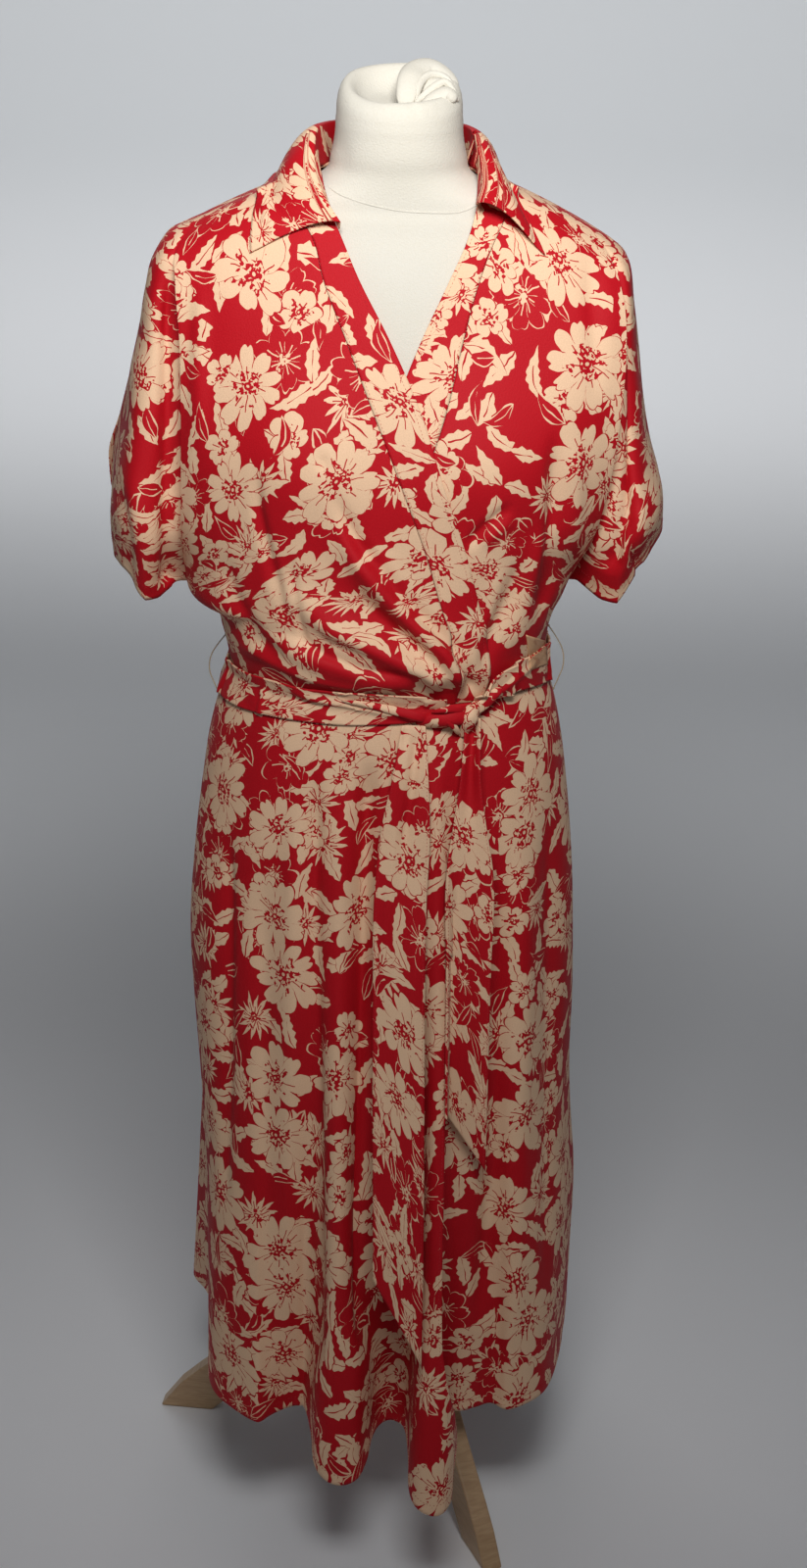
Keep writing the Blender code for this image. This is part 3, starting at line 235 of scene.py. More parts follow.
def makeFlowerGroup():
    tree, given, results = newGroup("flower")
    line = printPlan["line"]
    press = strokePress(given["Place"])
    local, chance = scattered(given)
    x, y, _ = splitAxes(local)
    far = addNode(local, "VectorMath", (local,), "Value", operation="LENGTH")
    radius = given["Radius"] * (chance[0] * 0.34 + 0.83)
    share = far / radius
    petals = given["Petals"] + (chance[2] * 2.99).calc("FLOOR")
    turn = y.calc("ARCTAN2", x) + chance[1] * math.tau
    steps = turn * (petals / math.tau) + (chance[2] * 0.9 - 0.45) * share       # petals passed, swept a bit
    across = steps.calc("FRACT") - 0.5          # -0.5 to 0.5 over one petal
    aside = abs(across)
    arc = far * (math.tau / petals)
    number = joinAxes(steps.calc("FLOOR") % petals, chance[0], chance[1])
    luck = addNode(number, "TexWhiteNoise", (number,), "Color", noise_dimensions="3D")
    petal = splitAxes(luck, "SeparateColor")

    fall = given["Depth"] * (aside * 2.0) ** given["Round"]         # the outline falls beside each petal
    offNotch = across - (petal[2] * 0.3 - 0.15)
    notch = (offNotch ** 2.0 * -160.0).calc("EXPONENT") * (petal[1] * 0.13)     # and dips at its tip
    tip = radius * (petal[0] * 0.26 + 0.80) * (1.0 - (fall + notch))
    inside = far < tip
    rim = far < press * (line * 2.3) + tip
    between = (0.5 - aside) * arc < share * (press * (line * 0.9) + line * 0.5)
    reach = (share - (petal[2] * 0.30 + 0.30)) * (given["Inner"] * -2.0 + 1.0)
    between = between * (reach > 0.0)           # the lines between petals, on their outer part
    offVein = across - (petal[1] * 0.5 - 0.25)
    vein = (abs(offVein) * arc < line * 1.1) * (share < petal[0] * 0.34 + 0.30)         # one in each petal
    inHeart = share < given["Heart"] * (noise(given["Place"], 150.0) * 2.2 - 0.05)
    speckle = (noise(given["Place"], 300.0, detail=1.0) > 0.47) * (share > 0.10)        # stamens
    eye = abs(share - 0.075) < 0.028            # a ring round the middle
    heart = inHeart * speckle.calc("MAXIMUM", eye)
    drawn = between.calc("MAXIMUM", vein) * (1.0 - inHeart)
    for slot, value in zip(results, (inside, heart.calc("MAXIMUM", drawn), rim, chance[0])):
        feed(slot, value)
    return tree


def makeLeafGroup():
    tree, given, results = newGroup("leaf")
    line = printPlan["line"]
    press = strokePress(given["Place"])
    local, chance = scattered(given)
    values = {"Vector": local, "Angle": chance[1] * math.tau}
    turned = addNode(local, "VectorRotate", values, rotation_type="Z_AXIS")
    along, side, _ = splitAxes(turned)
    half = given["Length"] * (chance[0] * 0.5 + 0.7)
    share = along / half
    bend = share * share * (half * (chance[2] * 0.7 - 0.35))        # each leaf curves its own way
    side = abs(side - bend)
    jag = share * (chance[0] * 2.0 + 1.6)
    teeth = jag.calc("PINGPONG", 0.5) * (given["Teeth"] * 2.0) + 0.7            # a sawn edge
    belly = (1.0 - share * share) * (share * -0.45 + 1.0)
    edge = given["Width"] * belly * teeth
    inside = side < edge
    rim = side < press * (line * 2.2) + edge
    drawn = (side < press * (line * 0.9)) * (share < 0.35)          # its middle vein
    for slot, value in zip(results, (inside, drawn, rim, chance[2])):
        feed(slot, value)
    return tree


def printColour(where):
    for scale, amount in (printPlan["wander"], printPlan["tremble"]):
        push = moved(noise(where, scale, output=1), (0.5, 0.5, 0.5), "SUBTRACT")
        where = moved(where, scaled(push, amount * 4))
    groups = {"flower": makeFlowerGroup(), "leaf": makeLeafGroup()}
    colour = printPlan["red"]
    for kind, paint, rimPaint, shown, sizes in motifs:
        values = {"Place": where, **dict(zip(motifSizes[kind], sizes))}
        motif = where.socket.id_data.nodes.new("ShaderNodeGroup")
        motif.node_tree = groups[kind]
        for name, value in values.items():
            feed(motif.inputs[name], value)
        inside, drawn, rim, chance = (Wire(socket) for socket in motif.outputs)
        show = chance < shown
        if rimPaint:
            colour = blendColour(rim * show, colour, printPlan[rimPaint])
        inside = inside * show
        colour = blendColour(inside, colour, printPlan[paint])
        ink = printPlan["red" if paint == "cream" else "cream"]
        colour = blendColour(inside * drawn, colour, ink)
    return colour


crepePlan = {
    "roughness": 0.62, "shine": 0.15, "sheen": 0.015,
    "grain": 1900.0, "pebble": 620.0, "height": 0.00022,
    "wrongSide": (0.76, 0.44, 0.24), "showThrough": (0.62, 0.27, 0.14),
}


def newCrepe(name, colour):
    look = (crepePlan[part] for part in ("roughness", "sheen", "shine"))
    made, coordinates, shader = newMaterial(name, colour, *look)
    where = Wire(coordinates["UV"])
    return made, where, noise(where, crepePlan["grain"]), shader


def makePrintMaterial():
    made, where, grain, shader = newCrepe("floral_crepe", printPlan["red"])
    tone = noise(where, 900.0, detail=1.0) * 0.16 + 0.92
    feed(shader["Base Color"], scaled(printColour(where), tone))
    pebble = noise(where, crepePlan["pebble"], detail=2.0)
    addBump(shader, pebble + grain * 0.6, crepePlan["height"])
    return made


def makeWrongSideMaterial():        # the cloth's paler inner face
    made, where, grain, shader = newCrepe("cloth_wrong_side", crepePlan["wrongSide"])
    share = (noise(where, 60.0, detail=1.0) > 0.60) * 0.7
    feed(shader["Base Color"], blendColour(share, crepePlan["wrongSide"], crepePlan["showThrough"]))
    addBump(shader, grain, crepePlan["height"])
    return made


threadPlan = {
    "red": (0.50, 0.010, 0.020), "loop": (0.46, 0.36, 0.24),
    "roughness": 0.75, "sheen": 0.2, "twist": 900.0, "shadow": 0.75,
}


def makeThreadMaterial(name, colour):
    made, coordinates, shader = newMaterial(name, colour, threadPlan["roughness"], threadPlan["sheen"])
    where = Wire(coordinates["Object"])
    values = {"Vector": where, "Scale": threadPlan["twist"]}
    twist = addNode(where, "TexWave", values, "Fac", bands_direction="DIAGONAL")
    shadow = tuple(threadPlan["shadow"] * part for part in colour)
    feed(shader["Base Color"], blendColour(twist, shadow, colour))
    return made


jerseyPlan = {
    "light": (0.63, 0.60, 0.53), "warm": (0.58, 0.53, 0.42), "roughness": 0.9, "sheen": 0.06, "shine": 0.15,
    "patch": 9.0, "fluff": 420.0, "nap": 700.0, "height": 0.0006, "strength": 0.8,
}


def makeJerseyMaterial():
    light, warm = jerseyPlan["light"], jerseyPlan["warm"]
    look = (jerseyPlan[part] for part in ("roughness", "sheen", "shine"))
    made, coordinates, shader = newMaterial("cream_jersey", light, *look)
    where = Wire(coordinates["Object"])
    patch = noise(where, jerseyPlan["patch"], detail=2.0, dimensions="3D")
    fluff = noise(where, jerseyPlan["fluff"], detail=3.0, dimensions="3D")
    feed(shader["Base Color"], blendColour(fluff * 0.5 + (patch * 0.7 - 0.35), light, warm))
    nap = noise(where, jerseyPlan["nap"], detail=3.0, dimensions="3D")
    addBump(shader, nap, jerseyPlan["height"], jerseyPlan["strength"])
    return made


lacquerPlan = {
    "pale": (0.54, 0.36, 0.20), "dark": (0.36, 0.21, 0.10),
    "roughness": 0.42, "coat": 0.25, "coatRoughness": 0.3,
    "stretch": (14.0, 14.0, 90.0), "grain": 3.0, "bend": 1.2, "height": 0.0006, "strength": 0.5,
}


def makeWoodMaterial():
    pale, dark = lacquerPlan["pale"], lacquerPlan["dark"]
    made, coordinates, shader = newMaterial("lacquered_wood", pale, lacquerPlan["roughness"])
    shader["Coat Weight"].default_value = lacquerPlan["coat"]
    shader["Coat Roughness"].default_value = lacquerPlan["coatRoughness"]
    where = Wire(coordinates["Object"])
    stretched = addNode(where, "Mapping", {"Vector": where, "Scale": lacquerPlan["stretch"]})
    scale, bend = lacquerPlan["grain"], lacquerPlan["bend"]
    grain = noise(stretched, scale, detail=5.0, dimensions="3D", distortion=bend)
    feed(shader["Base Color"], blendColour(grain * 1.6 - 0.35, pale, dark))
    addBump(shader, grain, lacquerPlan["height"], lacquerPlan["strength"])
    return made


finishes = {        # finish: its material and the record's slot
    "cloth": (makePrintMaterial(), "dress_cloth"),
    "wrongSide": (makeWrongSideMaterial(), "dress_cloth"),
    "redThread": (makeThreadMaterial("red_thread", threadPlan["red"]), "dress_cloth"),
    "loopThread": (makeThreadMaterial("loop_thread", threadPlan["loop"]), "loop_thread"),
    "jersey": (makeJerseyMaterial(), "form_jersey"),
    "wood": (makeWoodMaterial(), "stand_wood"),
}
print("materials made")


# Making pieces

def addGrid(mesh, points, flat):        # a grid of faces through rows of points; flat holds its cloth places
    rows, columns = points.shape[:2]
    made = bmesh.ops.create_grid(mesh, x_segments=columns - 1, y_segments=rows - 1, size=0.5)["verts"]
    made.sort(key=lambda vertex: (round(-vertex.co.y, 5), round(vertex.co.x, 5)))
    layer = mesh.loops.layers.uv.verify()
    number = {}
    for index, (vertex, corner) in enumerate(zip(made, points.reshape(-1, 3))):
        vertex.co = corner
        number[vertex] = index
    flats = flat.reshape(-1, 2)
    for face in {face for vertex in made for face in vertex.link_faces}:
        for loop in face.loops:
            loop[layer].uv = flats[number[loop.vert]]


def weld(mesh, distance=1e-5):
    bmesh.ops.remove_doubles(mesh, verts=mesh.verts, dist=distance)


def makeObject(name, mesh):
    data = bpy.data.meshes.new(name)
    mesh.to_mesh(data)
    mesh.free()
    data.shade_smooth()
    made = bpy.data.objects.new(name, data)
    bpy.context.scene.collection.objects.link(made)
    return made


def finishPiece(name, mesh, finish, nodes=(), smooth=60, shift=place["formAxis"]):
    bmesh.ops.translate(mesh, verts=mesh.verts, vec=(*shift, 0.0))
    piece = makeObject(name, mesh)
    piece.data.set_sharp_from_angle(angle=math.radians(smooth))
    material, slot = finishes[finish]
    piece.data.materials.append(material)
    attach(piece, "root")
    if nodes:
        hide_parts(*nodes)
    return piece


def addWall(piece, thickness):      # the cloth's thickness, inwards
    walls = piece.modifiers.new("cloth thickness", "SOLIDIFY")
    walls.thickness = thickness
    walls.offset = -1.0
    walls.use_even_offset = False


def clothPiece(name, grids, wall=place["wall"]):
    mesh = bmesh.new()
    for points, places in grids:
        addGrid(mesh, points, places)
    weld(mesh, 2e-5)
    piece = finishPiece(name + "_cloth", mesh, "cloth", nodes=[name])
    addWall(piece, wall)
    print(piece.name, "flat area", round(sum(face.area for face in piece.data.polygons), 4),
          "triangles", 4 * len(piece.data.polygons))


def runLengths(line):       # how far each point is along a line of points
    return np.concatenate([[0.0], np.cumsum(np.linalg.norm(np.diff(line, axis=0), axis=1))])


def onCloth(across, down, shift, turn):     # places on the flat cloth, in its metres
    cosine, sine = math.cos(math.radians(turn)), math.sin(math.radians(turn))
    x, y = across * cosine + down * sine + shift[0], across * sine - down * cosine + shift[1]
    return np.stack([x, y], axis=2)


def flatPlaces(points, anchor=0, shift=(0.0, 0.0), turn=0.0):       # measured from the anchor's column
    steps = np.linalg.norm(np.diff(points, axis=1), axis=2)
    across = np.concatenate([np.zeros((len(points), 1)), np.cumsum(steps, axis=1)], axis=1)
    across = across - across[:, anchor][:, None]
    return onCloth(across, runLengths(points[:, anchor])[:, None] + 0 * across, shift, turn)


def tubePlaces(points, shift=(0.0, 0.0), turn=0.0):
    around, down = runLengths(points[len(points) // 2])[None, :], runLengths(points.mean(axis=1))[:, None]
    return onCloth(around + 0 * down, down + 0 * around, shift, turn)


def tubeGrid(path, wide, high, sides=16, facing=(0, -1, 0), lobes=0.0, turns=0.0):
    path, facing = np.array(path, dtype=float), np.array(facing, dtype=float)
    count = len(path)
    wide, high = ((np.zeros(count) + half)[:, None, None] for half in (wide, high))
    ahead = np.gradient(path, axis=0)
    ahead /= np.linalg.norm(ahead, axis=1, keepdims=True)
    out = facing - ahead * (ahead @ facing)[:, None]
    out /= np.linalg.norm(out, axis=1, keepdims=True)
    side = np.cross(ahead, out)
    angle = np.linspace(0, math.tau, sides + 1)[None, :, None]
    along = np.linspace(0, math.tau, count)[:, None, None]
    swell = 1 + lobes * np.cos(3 * angle + turns * along)
    across, outwards = side[:, None] * np.cos(angle) * wide, out[:, None] * np.sin(angle) * high
    ring = path[:, None] + swell * (across + outwards)
    ends = [np.repeat(path[end, None], sides + 1, axis=1) for end in (slice(0, 1), slice(-1, None))]
    return np.concatenate([ends[0], ring, ends[1]])


def smoothLine(points, count):      # a rounded line through a few points, each with any number of values
    points = np.array(points, dtype=float)
    names = [str(column) for column in range(points.shape[1])]
    line = Table(" ".join(["place"] + names), *[(index, *point) for index, point in enumerate(points)])
    steps = np.linspace(0, len(points) - 1, count)
    return np.stack([line.at(name, steps) for name in names], axis=-1)


def addFold(mesh, line, sharpness, rest, facing=(0, -1, 0), lobes=0.0, turns=0.0, places=((0.0, 0.0), 0.0)):
    cap = np.sqrt(np.clip(1 - np.linspace(-1, 1, len(line)) ** sharpness, rest, 1))     # rounds off both ends
    tube = tubeGrid(line[:, :3], line[:, 3] * cap, line[:, 4] * cap, 28, facing, lobes, turns)
    addGrid(mesh, tube, tubePlaces(tube, *places))


# The photo's camera. Creases and the knot are placed in the photo's pixels.

lensPlan = {
    "spot": (0.0155, -2.12, 1.60), "pitch": 68.0, "roll": 1.2,
    "pixels": 2434.0, "photo": (823.0, 1600.0), "sensor": 36.0,
}
lensMiddle = [size / 2 for size in lensPlan["photo"]]
lensPitch, lensRoll = (math.radians(lensPlan[turn]) for turn in ("pitch", "roll"))
lensTurn = Matrix.Rotation(lensPitch, 3, "X") @ Matrix.Rotation(lensRoll, 3, "Z")


def seenAt(points):     # where the camera sees these points
    local = (points - np.array(lensPlan["spot"])) @ np.array(lensTurn)
    across = lensMiddle[0] - lensPlan["pixels"] * local[..., 0] / local[..., 2]
    down = lensMiddle[1] + lensPlan["pixels"] * local[..., 1] / local[..., 2]
    return np.stack([across, down], axis=-1)


def nearestHit(surfaces, start, ray):
    hits = [surface.ray_cast(Vector(start), Vector(ray)) for surface in surfaces]
    return min((hit for hit in hits if hit[0] is not None), key=lambda hit: hit[3])[0]


def spotOn(pixel, surfaces, lift=0.0):      # the place on the nearest surface that this pixel shows
    local = Vector((pixel[0] - lensMiddle[0], lensMiddle[1] - pixel[1], -lensPlan["pixels"]))
    ray = (lensTurn @ local).normalized()
    return nearestHit(surfaces, lensPlan["spot"], ray) - ray * lift


def creaseRelief(points, creases):      # soft troughs and ridges along the creases' lines
    spots = seenAt(points)
    total = np.zeros(points.shape[:-1])
    for line, width, rise, fades in creases:
        corners = np.array(line, dtype=float)
        before = runLengths(corners)
        nearest, along = np.full(total.shape, 1e9), np.zeros(total.shape)
        for start, run, passed in zip(corners, np.diff(corners, axis=0), before):
            length = np.linalg.norm(run)
            share = np.clip(((spots - start) @ run) / length**2, 0, 1)
            gap = np.linalg.norm(spots - start - share[..., None] * run, axis=-1)
            closer = gap < nearest
            nearest = np.where(closer, gap, nearest)
            along = np.where(closer, (passed + share * length) / before[-1], along)
        fade = ease(along, 0, fades[0]) * ease(along, 1, 1 - fades[1])
        total += 0.001 * rise * fade * np.exp(-((nearest / width) ** 2))
    return total


ripples = {     # each piece's unevenness: height in metres, how fast it runs across and down, and a seed
    "front": (0.0010, 45, 30, 1), "back": (0.0022, 42, 26, 5), "sleeve": (0.0016, 60, 40, 3),
    "skirtFront": (0.0022, 62, 5, 7), "skirtBack": (0.0022, 62, 5, 9),
    "belt": (0.0006, 120, 160, 2), "sashEnd": (0.0006, 90, 30, 4),
}


def ripple(points, name):
    height, across, down, seed = ripples[name]
    x, z = points[..., 0], points[..., 2]
    total = 0.0
    for step in range(1, 5):
        angle = seed * 1.7 + step * 2.4
        run = x * across * (0.6 + 0.35 * step) + z * down * (0.5 + 0.4 * step) * math.cos(angle)
        total = total + np.sin(run + angle * 3.1) / (1.6 * step ** 0.7)
    return height * total


def gridNormals(points):
    normals = np.cross(np.gradient(points, axis=0), np.gradient(points, axis=1))
    return normals / np.maximum(np.linalg.norm(normals, axis=2, keepdims=True), 1e-12)


def movedOut(points, amounts):
    return points + gridNormals(points) * np.asarray(amounts)[..., None]


def surfaceOf(*grids):      # what rays and laid pieces meet
    corners, faces = [], []
    for points in grids:
        columns = points.shape[1]
        start = len(corners)
        corners += [tuple(point) for point in points.reshape(-1, 3)]
        for row in range(points.shape[0] - 1):
            for column in range(columns - 1):
                first = start + row * columns + column
                faces.append((first, first + columns, first + columns + 1, first + 1))
    return BVHTree.FromPolygons(corners, faces)


def laidOn(points, surfaces, needed, firstRow=0):       # pushed out to the needed height above them
    reach = 0.03
    for _ in range(2):
        for row in range(firstRow, points.shape[0]):
            for column in range(points.shape[1]):
                point = Vector(points[row, column])
                for surface in surfaces:
                    nearest, normal, _, distance = surface.find_nearest(point)
                    if nearest is None or distance > reach:
                        continue
                    height = (point - nearest).dot(normal)
                    if height < needed:
                        point = point + normal * (needed - height)
                points[row, column] = point
    return points


def superellipse(turn, half, depth, squareness):        # turn in degrees from the front centre
    sine, cosine = np.sin(np.radians(turn)), np.cos(np.radians(turn))
    power = 2 / squareness
    x = half * np.sign(sine) * np.abs(sine) ** power
    return x, depth * np.sign(cosine) * np.abs(cosine) ** power


# Bodice. Its rows run from 0 at the shoulder seam to 1 at the underarm and 1.55 at the waist.
# middle is the row's height at the centre line, front and back are its depths there, and the fold is
# where the body turns back into the sleeve; below row 1 it is the side seam.

bodice = Table(
    "row frontMiddle backMiddle front back frontFold backFold rightX rightZ leftX leftZ",
    (0.00, 1.3340, 1.3340, 0.000, 0.000, 0.000, 0.000, 0.163, 1.2800, 0.158, 1.2800),
    (0.03, 1.3300, 1.3315, 0.026, 0.036, 0.012, 0.013, 0.170, 1.2770, 0.164, 1.2765),
    (0.07, 1.3150, 1.3215, 0.046, 0.057, 0.023, 0.024, 0.178, 1.2690, 0.172, 1.2680),
    (0.14, 1.2850, 1.2930, 0.066, 0.074, 0.040, 0.040, 0.190, 1.2520, 0.186, 1.2500),
    (0.24, 1.2450, 1.2480, 0.082, 0.085, 0.056, 0.051, 0.190, 1.2260, 0.196, 1.2220),
    (0.38, 1.1950, 1.1960, 0.099, 0.093, 0.068, 0.058, 0.186, 1.1800, 0.200, 1.1800),
    (0.54, 1.1350, 1.1350, 0.121, 0.098, 0.075, 0.062, 0.185, 1.1250, 0.198, 1.1250),
    (0.70, 1.0750, 1.0750, 0.133, 0.100, 0.073, 0.060, 0.186, 1.0650, 0.192, 1.0650),
    (0.86, 1.0100, 1.0100, 0.132, 0.098, 0.056, 0.044, 0.188, 1.0000, 0.180, 1.0050),
    (1.00, 0.9550, 0.9550, 0.130, 0.097, 0.001, 0.001, 0.187, 0.9430, 0.163, 0.9520),
    (1.15, 0.9320, 0.9320, 0.132, 0.098, 0.000, 0.000, 0.163, 0.9270, 0.153, 0.9300),
    (1.30, 0.9100, 0.9100, 0.134, 0.099, 0.000, 0.000, 0.156, 0.9080, 0.147, 0.9100),
    (1.42, 0.8930, 0.8930, 0.130, 0.096, 0.000, 0.000, 0.152, 0.8920, 0.146, 0.8930),
    (1.55, 0.8684, 0.8684, 0.120, 0.086, 0.000, 0.000, 0.148, 0.8684, 0.147, 0.8684),
)
sleeves = Table(
    "row rightX rightY rightZ leftX leftY leftZ belly dip backBelly backDip rightSag leftSag",
    (0.00, 0.184, 0.000, 1.2705, 0.178, 0.000, 1.2690, 0.000, 0.000, 0.000, 0.000, 0.000, 0.000),
    (0.07, 0.2005, 0.000, 1.2625, 0.191, 0.000, 1.2610, 0.001, 0.000, 0.001, 0.000, 0.000, 0.000),
    (0.14, 0.2130, 0.001, 1.2430, 0.201, 0.001, 1.2500, 0.002, 0.001, 0.002, 0.001, 0.000, 0.000),
    (0.24, 0.2200, 0.005, 1.2150, 0.209, 0.006, 1.2180, 0.002, 0.006, 0.003, 0.003, 0.000, 0.000),
    (0.38, 0.2300, 0.014, 1.1750, 0.217, 0.013, 1.1750, 0.003, 0.015, 0.004, 0.008, 0.002, 0.001),
    (0.54, 0.2410, 0.026, 1.1300, 0.225, 0.025, 1.1250, 0.006, 0.021, 0.006, 0.011, 0.008, 0.005),
    (0.70, 0.2520, 0.038, 1.0900, 0.235, 0.036, 1.0800, 0.016, 0.022, 0.012, 0.012, 0.019, 0.014),
    (0.86, 0.2600, 0.050, 1.0550, 0.246, 0.042, 1.0450, 0.034, 0.017, 0.023, 0.009, 0.032, 0.026),
    (1.00, 0.2605, 0.060, 1.0240, 0.250, 0.046, 1.0180, 0.050, 0.000, 0.046, 0.000, 0.049, 0.044),
)
edges = Table(
    "row rightEdge rightStitch leftEdge leftStitch",
    (0.00, -0.070, -0.098, 0.070, 0.098),
    (0.10, -0.0585, -0.085, 0.067, 0.092),
    (0.17, -0.046, -0.070, 0.059, 0.081),
    (0.24, -0.034, -0.063, 0.0475, 0.072),
    (0.40, -0.003, -0.040, 0.0215, 0.0575),
    (0.54, 0.023, -0.018, 0.000, 0.0455),
    (0.70, 0.0445, 0.007, -0.024, 0.026),
    (0.86, 0.066, 0.031, -0.046, 0.000),
    (1.00, 0.080, 0.047, -0.060, -0.018),
    (1.20, 0.088, 0.058, -0.068, -0.030),
    (1.40, 0.089, 0.063, -0.070, -0.034),
    (1.55, 0.084, 0.060, -0.070, -0.036),
)
bodicePlan = {
    "waistRow": 1.55, "neckRow": 0.080, "neckSquareness": 2.6, "squareness": 2.2, "droop": 1.5,
    "bustWide": 0.085, "bustHeight": 1.085, "bustSpread": 0.052, "bustLift": 0.010,
    "upperKnots": (0.0, 0.03, 0.07, 0.14, 0.24, 0.36, 0.48, 0.60, 0.71, 0.82, 0.92, 1.0),
    "lowerKnots": (1.0, 1.10, 1.20, 1.29, 1.36, 1.42, 1.485, 1.55), "rowSteps": 8,
    "panelColumns": {-1: 120, 1: 84}, "bandColumns": 16,
    "backKnots": (0.0, 0.10, 0.175, 0.235, 0.36, 0.48, 0.61, 0.74, 0.87, 1.0), "backSteps": 4,
}
sleevePlan = {
    "crease": 9.0,          # turn at which the dip beside the body is deepest
    "dip": (1.35, 0.9, 0.27, 0.15),         # its share everywhere, what is added, at which row, over how many
    "undercut": {"front": 0.62, "back": 0.35},      # how much of the dip also goes inwards
    "backSag": 0.35, "flare": 0.005,
    "hemTurns": (0, 5, 20, 30, 40, 50, 60, 72, 80, 90),     # how low the sleeve hem hangs across its front
    "hemDrops": {-1: (0, 0.11, 0.74, 1.0, 0.93, 0.93, 1.0, 1.16, 0.95, 0),
                 1: (0, 0.08, 0.72, 1.0, 0.74, 0.60, 0.48, 0.42, 0.38, 0)},
    "knots": (0, 7, 15, 25, 38, 52, 66, 79, 90), "steps": 5,
    "farthest": 0.2005,     # beyond it front and back may pass each other, as they do at the open hem
}
drapeRidges = {     # each side's ridges: x and z of both ends, half width and height
    -1: ((-0.048, 1.030, 0.062, 0.905, 0.0140, 0.0095), (-0.098, 0.972, 0.050, 0.894, 0.0130, 0.0085),
         (-0.142, 0.932, 0.020, 0.890, 0.0110, 0.0065)),
    1: ((0.142, 1.035, 0.116, 0.925, 0.0130, 0.0070), (0.158, 0.975, 0.128, 0.905, 0.0100, 0.0050)),
}
creases = {     # line and half width in the photo's pixels, rise in millimetres, fades at both ends
    "bodice": (
        (((338, 505), (350, 545), (365, 572), (385, 597), (409, 625), (435, 649), (457, 671), (469, 692),
          (473, 715)), 6, 3.5, (0.25, 0.08)),
        (((330, 480), (350, 526), (366, 556), (387, 583), (411, 611), (438, 637), (462, 660), (477, 686),
          (480, 715)), 7.5, -7.0, (0.35, 0.06)),
        (((352, 588), (372, 614), (398, 640), (426, 662), (450, 684), (462, 702)), 8, -5.0, (0.35, 0.1)),
        (((305, 618), (340, 643), (378, 662), (410, 677), (438, 690), (460, 700)), 6, 4.0, (0.3, 0.1)),
        (((290, 640), (330, 668), (370, 684), (410, 692), (445, 699)), 6, -4.5, (0.3, 0.12)),
        (((240, 655), (280, 674), (322, 690), (355, 697), (400, 696), (440, 697)), 6, 4.0, (0.12, 0.15)),
        (((262, 470), (263, 520), (273, 562), (290, 618), (302, 650)), 6, -4.5, (0.3, 0.3)),
        (((296, 560), (300, 600), (308, 640), (318, 668)), 5, -3.0, (0.3, 0.3)),
        (((225, 560), (238, 610), (262, 650), (300, 682)), 8, -4.0, (0.3, 0.2)),
        (((322, 462), (330, 474), (340, 480)), 6, -3.0, (0.5, 0.5)),
        (((526, 514), (505, 530), (486, 547), (474, 562)), 5, -4.5, (0.3, 0.25)),
        (((528, 526), (508, 541), (488, 557)), 6, 2.5, (0.3, 0.3)),
        (((566, 430), (567, 500), (563, 570), (550, 640)), 9, -7.0, (0.3, 0.15)),
        (((586, 440), (588, 510), (582, 580)), 9, 3.0, (0.3, 0.3)),
        (((535, 560), (520, 610), (500, 650), (488, 690)), 8, -4.0, (0.3, 0.15)),
        (((512, 575), (500, 620), (488, 660)), 7, 2.5, (0.3, 0.3)),
        (((600, 250), (606, 330), (608, 420)), 10, -3.0, (0.3, 0.3)),
        (((205, 280), (203, 360), (205, 470)), 9, 3.0, (0.3, 0.3)),
    ),
    "sleeves": (
        (((170, 260), (171, 350), (172, 450), (174, 600)), 10, -10.0, (0.2, 0.02)),
        (((143, 330), (138, 450), (140, 560), (150, 620)), 12, 4.0, (0.2, 0.1)),
        (((120, 480), (130, 540), (134, 610)), 7, -4.0, (0.3, 0.05)),
        (((643, 330), (645, 440), (638, 520), (622, 585)), 9, -10.0, (0.25, 0.05)),
        (((655, 500), (644, 525), (646, 560), (655, 590)), 5, -4.5, (0.25, 0.1)),
        (((668, 430), (672, 500), (670, 560)), 9, 3.5, (0.3, 0.2)),
    ),
    "skirt": (
        (((322, 775), (320, 900), (321, 1100), (322, 1300), (321, 1420)), 9, -8.0, (0.12, 0.1)),
        (((378, 765), (372, 860), (369, 1000), (368, 1200), (376, 1400)), 11, -13.0, (0.10, 0.12)),
        (((347, 790), (345, 1000), (345, 1200), (346, 1380)), 10, 4.0, (0.15, 0.15)),
        (((299, 800), (296, 1000), (295, 1200), (296, 1400)), 11, 3.5, (0.15, 0.15)),
        (((445, 770), (447, 900), (446, 1100), (445, 1350)), 10, 5.0, (0.12, 0.15)),
        (((505, 860), (507, 1000), (503, 1200), (490, 1360)), 10, -9.0, (0.15, 0.12)),
        (((532, 840), (534, 1000), (530, 1200), (518, 1400)), 12, 4.5, (0.2, 0.15)),
        (((561, 800), (563, 950), (560, 1150), (556, 1350)), 9, -4.0, (0.2, 0.15)),
        (((232, 840), (233, 950), (232, 1100), (228, 1250)), 5, -4.0, (0.15, 0.15)),
        (((266, 850), (268, 1000), (270, 1200), (268, 1420)), 12, -4.5, (0.2, 0.12)),
        (((217, 870), (216, 1000), (217, 1200)), 9, 2.5, (0.2, 0.2)),
    ),
    "longEnd": (
        (((425, 750), (421, 800), (409, 880)), 5, -3.5, (0.02, 0.3)),
        (((414, 752), (404, 830), (394, 950), (392, 1060)), 6, 2.5, (0.05, 0.3)),
        (((424, 900), (424, 1050), (421, 1200)), 6, 1.8, (0.3, 0.3)),
    ),
    "belt": (
        (((285, 703), (325, 714), (360, 721), (400, 729), (437, 735)), 3.4, 3.6, (0.3, 0.02)),
        (((300, 697), (345, 709), (390, 716), (440, 722)), 3.0, -2.0, (0.3, 0.1)),
        (((262, 688), (300, 712), (340, 728), (380, 736)), 3.0, -1.6, (0.3, 0.3)),
        (((548, 652), (525, 680), (500, 706), (488, 720)), 3.5, -2.4, (0.2, 0.05)),
        (((556, 664), (530, 690), (502, 714)), 3.0, 2.0, (0.3, 0.1)),
    ),
}


